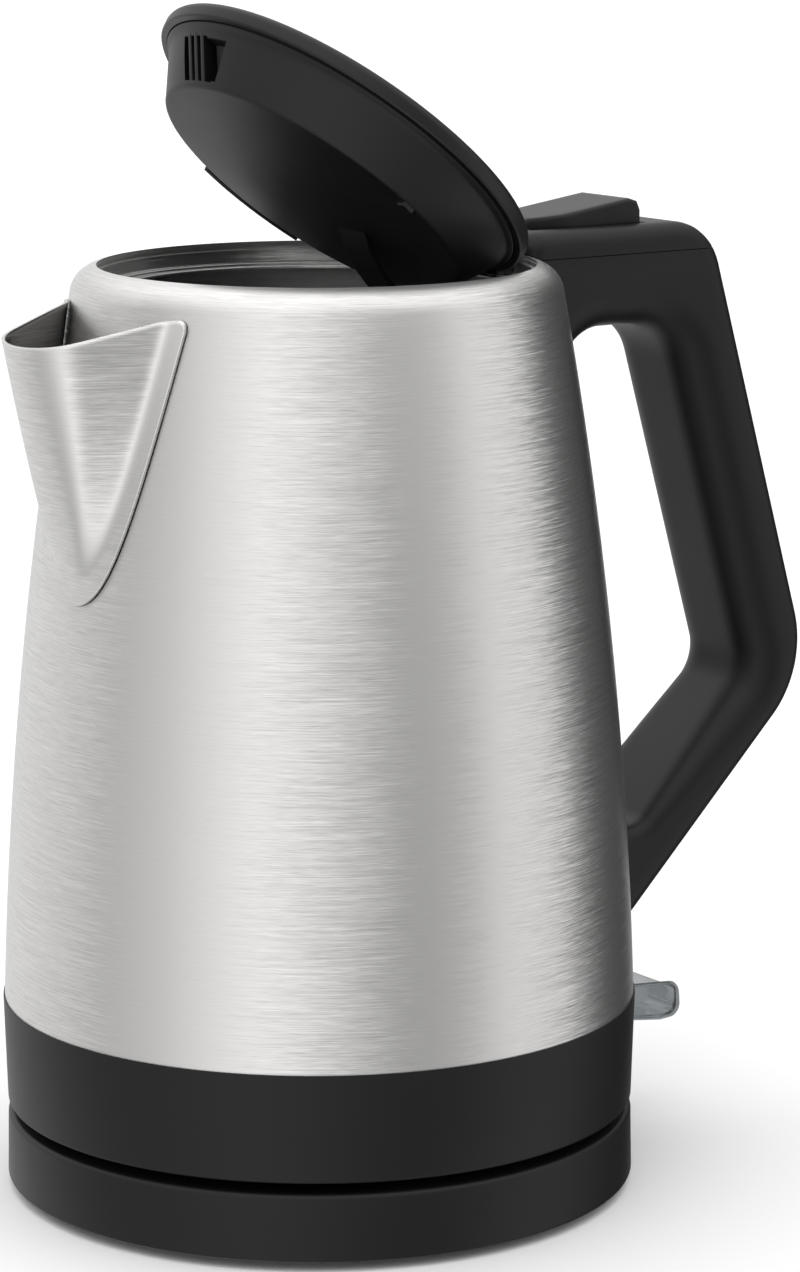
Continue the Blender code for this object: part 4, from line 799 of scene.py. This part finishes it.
def cone_radius(depth):
    """Radius of the plug's flank at a depth below the lid's top."""
    share = (np.asarray(depth) - FLANK_TOP) / (FLANK_FOOT - FLANK_TOP)
    return FLANGE_ROOT + (PLUG_OUT - FLANGE_ROOT) * share


def flank_block(angle, half, depth_low, depth_high, inward, outward, lean=0.0):
    """A block that straddles the flank, for cutting a slot or adding a rib. lean is how far its
    lower end is turned on from its upper end."""
    points, faces = box_points((-1, -half, 0), (1, half, 1))
    depth = np.where(points[:, 2] > 0.5, depth_low, depth_high)
    points[:, 0] = cone_radius(depth) + np.where(points[:, 0] > 0, outward, -inward)
    points[:, 2] = LID_TOP - depth
    turned = angle + lean * (depth == depth_high)
    c, s = np.cos(turned), np.sin(turned)
    return np.stack([points[:, 0] * c - points[:, 1] * s, points[:, 0] * s + points[:, 1] * c,
                     points[:, 2]], -1), faces


# Two pockets in the flank face the spout: a plain one, and the vent with three thin ribs.
POCKET, VENT = math.radians(186), math.radians(174)
POCKET_LEAN, VENT_LEAN = math.radians(-2), math.radians(5)
RIB_PITCH, RIB_HALF = 0.0029, 0.0007
FLANK_MID = 0.044                  # the flank's radius where the ribs are spaced
cut_with(plug, tool(*flank_block(POCKET, 0.0036, 0.0074, 0.0160, 0.0030, 0.004, POCKET_LEAN)))
cut_with(plug, tool(*flank_block(VENT, 0.0058, 0.0070, 0.0163, 0.0062, 0.004, VENT_LEAN)))
for offset in (-RIB_PITCH, 0.0, RIB_PITCH):
    union_with(plug, *flank_block(VENT + offset / FLANK_MID, RIB_HALF, 0.0064, 0.0168, 0.0070,
                                  0.0001, VENT_LEAN), 0.0003)
# A small tab stands out of the plug's underside.
union_with(plug, *box_points((-0.0013, -0.0409, PLUG_LOW - 0.0009),
                             (0.0023, -0.0385, PLUG_LOW + 0.001)), 0.0003)
reopen(plug)

STAY_HALF, STAY_THICK = 0.0055, 0.0006        # half the strap's width and thickness
stay_line = np.array([(0.0150, 0.0008), (0.0200, -0.0022), (0.0260, -0.0043), (0.0310, -0.0052),
                      (0.0350, -0.0054)])
run = np.linspace(0, 1, 24)
stay_x = np.interp(run, np.linspace(0, 1, 5), stay_line[:, 0])
stay_z = PLUG_LOW + np.interp(run, np.linspace(0, 1, 5), stay_line[:, 1])
stay_outline = np.concatenate([np.stack([stay_x, stay_z - STAY_THICK], -1),
                               np.stack([stay_x, stay_z + STAY_THICK], -1)[::-1]])
points, faces = prism_points(stay_outline, -STAY_HALF, STAY_HALF)
stay = make_piece("lid_strap", points, faces, plug_plastic, "lid", ["lid_stay"])
facing_out(stay)
reopen(stay)
dress(rubber, "lid_bumper")

# ---- hinge, button and bolt -----------------------------------------------------------------
# The hinge housing stands in a gap of the rim. The rocker button behind it draws the bolt
# back, and the sprung lid then lifts. Its wedge is a little glossier than the handle.
button_plastic = moulded_plastic("button_polypropylene", "#0b0b0c", 0.40, specular=0.30)
dress(lid_plastic, "hinge_housing")
nose_x, tail_x = button_low.x - AXIS_X, button_high.x - AXIS_X
tail_z, skirt_z = button_high.z, HANDLE_TOP - 0.0030
nose_z = tail_z - 0.0040
NOSE_LENGTH, NOSE_END = 0.0090, 0.42          # the nose's length, and its width at its end
button_side = [(nose_x, skirt_z), (nose_x, nose_z - 0.0016), (nose_x + 0.0020, nose_z),
               (tail_x - 0.0035, tail_z), (tail_x - 0.0010, tail_z - 0.0008),
               (tail_x, tail_z - 0.0030), (tail_x, skirt_z)]
points, faces = rounded_prism(evenly(with_radius(button_side, 0.0011), 0.002), button_high.y,
                              5, 9)
nose_share = np.clip((points[:, 0] - AXIS_X - nose_x) / NOSE_LENGTH, 0, 1)
points[:, 1] *= NOSE_END + (1 - NOSE_END) * nose_share
button = make_piece("button_cap", points, faces, button_plastic, "button",
                    ["lid_button"])
facing_out(button)


def coil_spring(centre, radius, low, high, turns, wire, around=10, per_turn=40):
    """A closed wire spring: a circle of the wire's radius, swept along a helix about an upright
    line. Each circle lies in the plane of the upright and the outward direction."""
    t = np.linspace(0, 1, turns * per_turn)
    angle = math.tau * turns * t
    out = np.stack([np.cos(angle), np.sin(angle), 0 * angle], -1)
    line = np.array(centre) + out * radius
    line[:, 2] = low + wire + (high - low - 2 * wire) * t
    ring = np.linspace(0, math.tau, around, endpoint=False)
    up = np.array([0, 0, 1.0])
    tube = (line[:, None] + wire * (np.cos(ring)[None, :, None] * out[:, None]
                                    + np.sin(ring)[None, :, None] * up))
    points = np.concatenate([tube.reshape(-1, 3), line[:1], line[-1:]])
    faces = grid_faces(len(t), around, False, True).tolist()
    last, i = len(t) * around, np.arange(around)
    j = (i + 1) % around
    faces += np.stack([0 * i + last, j, i], -1).tolist()
    faces += np.stack([0 * i + last + 1, last - around + i, last - around + j], -1).tolist()
    return points, faces


spring_low, spring_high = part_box("button_spring")
middle = (spring_low + spring_high) / 2
points, faces = coil_spring((middle.x, middle.y, 0), 0.0030, spring_low.z, spring_high.z, 4,
                            0.00045)
spring = make_piece("button_spring_coil", points, faces, screw_steel, "jug",
                    ["button_spring"])
facing_out(spring)
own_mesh(spring)
pale_plastic = moulded_plastic("acetal_natural", "#c9c6bd", 0.45)
dress(pale_plastic, "latch_bolt", "trip_arm")

# ---- switch lever and lamp --------------------------------------------------------------------
# The lever is clear polycarbonate, moulded in one, and shows the lamp's light at its end. It
# reads smoky because it is seen against the black collar behind it.
clear, tree, shader, place = start_material("clear_polycarbonate", "#717679", 0.06)
shader.inputs["Transmission Weight"].default_value = 1.0
shader.inputs["IOR"].default_value = 1.58
haze = add(tree, "ShaderNodeTexNoise", [("Vector", place)], Scale=220.0, Detail=3.0)
tree.links.new(mapped(tree, haze.outputs["Fac"], 0.02, 0.10), shader.inputs["Roughness"])
bumped(tree, shader, haze.outputs["Fac"], 0.08, 0.0003)
lever_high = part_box("switch_lever")[1]
PIVOT_OUT, PIVOT_Z = 0.0690, COLLAR_Z + 0.0120
TIP_OUT, TIP_LOW, TIP_THICK = lever_high.x - AXIS_X, PIVOT_Z - 0.0066, 0.0062
lever_outline = [(PIVOT_OUT - 0.003, PIVOT_Z - 0.0026), (PIVOT_OUT + 0.006, PIVOT_Z - 0.0034),
                 (TIP_OUT - 0.0052, TIP_LOW)]
lever_outline += arc((TIP_OUT - 0.0022, TIP_LOW + 0.0024), 0.0022, -80, 0, 8).tolist()
lever_outline += arc((TIP_OUT - 0.0030, TIP_LOW + TIP_THICK - 0.0012), 0.0028, 8, 85,
                     8).tolist()
lever_outline += [(PIVOT_OUT + 0.010, PIVOT_Z + 0.003), (PIVOT_OUT - 0.003, PIVOT_Z + 0.003)]
points, faces = rounded_prism(evenly(with_radius(lever_outline, 0.0011), 0.0015),
                              lever_high.y, 6, 13)
lever = make_piece("lever_moulding", points, faces, clear, "lever",
                   ["switch_lever"])
facing_out(lever)
# The lamp's orange lens lets half the light in, and a fine ripple softens its shine.
lens, tree, shader, place = start_material("lamp_lens_glass", "#d8562e", 0.18)
shader.inputs["Transmission Weight"].default_value = 0.5
ripple = add(tree, "ShaderNodeTexNoise", [("Vector", place)], Scale=900.0, Detail=2.0)
bumped(tree, shader, ripple.outputs["Fac"], 0.1, 0.0001)
dress(lens, "indicator_lamp")

# ---- floor, light and camera ------------------------------------------------------------------
# The kettle stands on a plain white sweep under broad, soft studio light. The sweep is matt
# paint that takes the contact shadow, and it is kept out of the steel's reflections.
floor_mesh = bpy.data.meshes.new("studio_floor")
FLOOR = 14
floor_mesh.from_pydata([(-FLOOR, -FLOOR, 0), (FLOOR, -FLOOR, 0), (FLOOR, FLOOR, 0),
                        (-FLOOR, FLOOR, 0)], [], [(0, 1, 2, 3)])
floor = bpy.data.objects.new("studio_floor", floor_mesh)
bpy.context.scene.collection.objects.link(floor)
floor_mesh.materials.append(start_material("matt_white_sweep", "#f4f4f4", 0.9)[0])
floor.visible_glossy = False

world = bpy.data.worlds.new("studio")
bpy.context.scene.world = world
world.use_nodes = True
tree = world.node_tree
sky = tree.nodes["Background"]
LIGHT_ROUND = [(-180, 0.92), (-128, 0.90), (-101, 0.78), (-84, 0.60), (-62, 0.75), (-45, 1.0),
               (-24, 1.28), (-4, 1.05), (11, 0.76), (33, 0.42), (49, 0.50), (75, 0.98),
               (97, 0.92), (112, 0.28), (124, 0.08), (150, 0.05), (180, 0.05)]   # degrees
CAMERA_AZIMUTH = -123.5


def world_ramp():
    """Grey light that changes round the horizon, as softboxes and black cards make it."""
    place = add(tree, "ShaderNodeTexCoord").outputs["Generated"]
    split = add(tree, "ShaderNodeSeparateXYZ", [("Vector", place)])
    angle = add(tree, "ShaderNodeMath", operation="ARCTAN2")
    tree.links.new(split.outputs["Y"], angle.inputs[0])
    tree.links.new(split.outputs["X"], angle.inputs[1])
    turned = add(tree, "ShaderNodeMath", operation="SUBTRACT")
    tree.links.new(angle.outputs[0], turned.inputs[0])
    turned.inputs[1].default_value = math.radians(CAMERA_AZIMUTH)
    share = add(tree, "ShaderNodeMath", operation="MULTIPLY_ADD")
    tree.links.new(turned.outputs[0], share.inputs[0])
    share.inputs[1].default_value = 1 / math.tau
    share.inputs[2].default_value = 0.5
    wrapped = add(tree, "ShaderNodeMath", operation="FRACT")
    tree.links.new(share.outputs[0], wrapped.inputs[0])
    ramp = add(tree, "ShaderNodeValToRGB", [("Fac", wrapped.outputs[0])])
    stops = ramp.color_ramp.elements
    for degrees, level in LIGHT_ROUND:
        stop = stops.new((degrees + 180) / 360)
        stop.color = (level, level, level, 1)
    stops.remove(stops[0])
    ramp.color_ramp.interpolation = "EASE"
    return ramp.outputs["Color"], split.outputs["Z"]


ramp, height = world_ramp()
ZENITH = 1.7                       # light from overhead, over that from the horizon
up = mapped(tree, height, 0.0, 1.0, 0.25, 0.95)
mix = add(tree, "ShaderNodeMixRGB", [("Fac", up), ("Color1", ramp)])
mix.inputs["Color2"].default_value = (ZENITH, ZENITH, ZENITH, 1)
seen = add(tree, "ShaderNodeMixRGB", [("Fac", add(tree, "ShaderNodeLightPath").outputs[0]),
                                      ("Color1", mix.outputs[0])])
seen.inputs["Color2"].default_value = (1.0, 1.0, 1.0, 1)     # the backdrop itself is white
tree.links.new(seen.outputs[0], sky.inputs["Color"])
sky.inputs["Strength"].default_value = 1.0

# A long lens looks down a little from the front left of the spout.
camera_data = bpy.data.cameras.new("camera")
camera_data.lens, camera_data.sensor_width = 122.9, 36
camera = bpy.data.objects.new("camera", camera_data)
camera.location = (-0.60205, -0.86661, 0.33866)
camera.rotation_euler = Vector((0.5573, 0.8079, -0.1918)).to_track_quat("-Z", "Y").to_euler()
bpy.context.scene.collection.objects.link(camera)
bpy.context.scene.camera = camera

# Standard keeps the blacks deep and the steel's contrast as it is lit.
bpy.context.scene.view_settings.view_transform = "Standard"
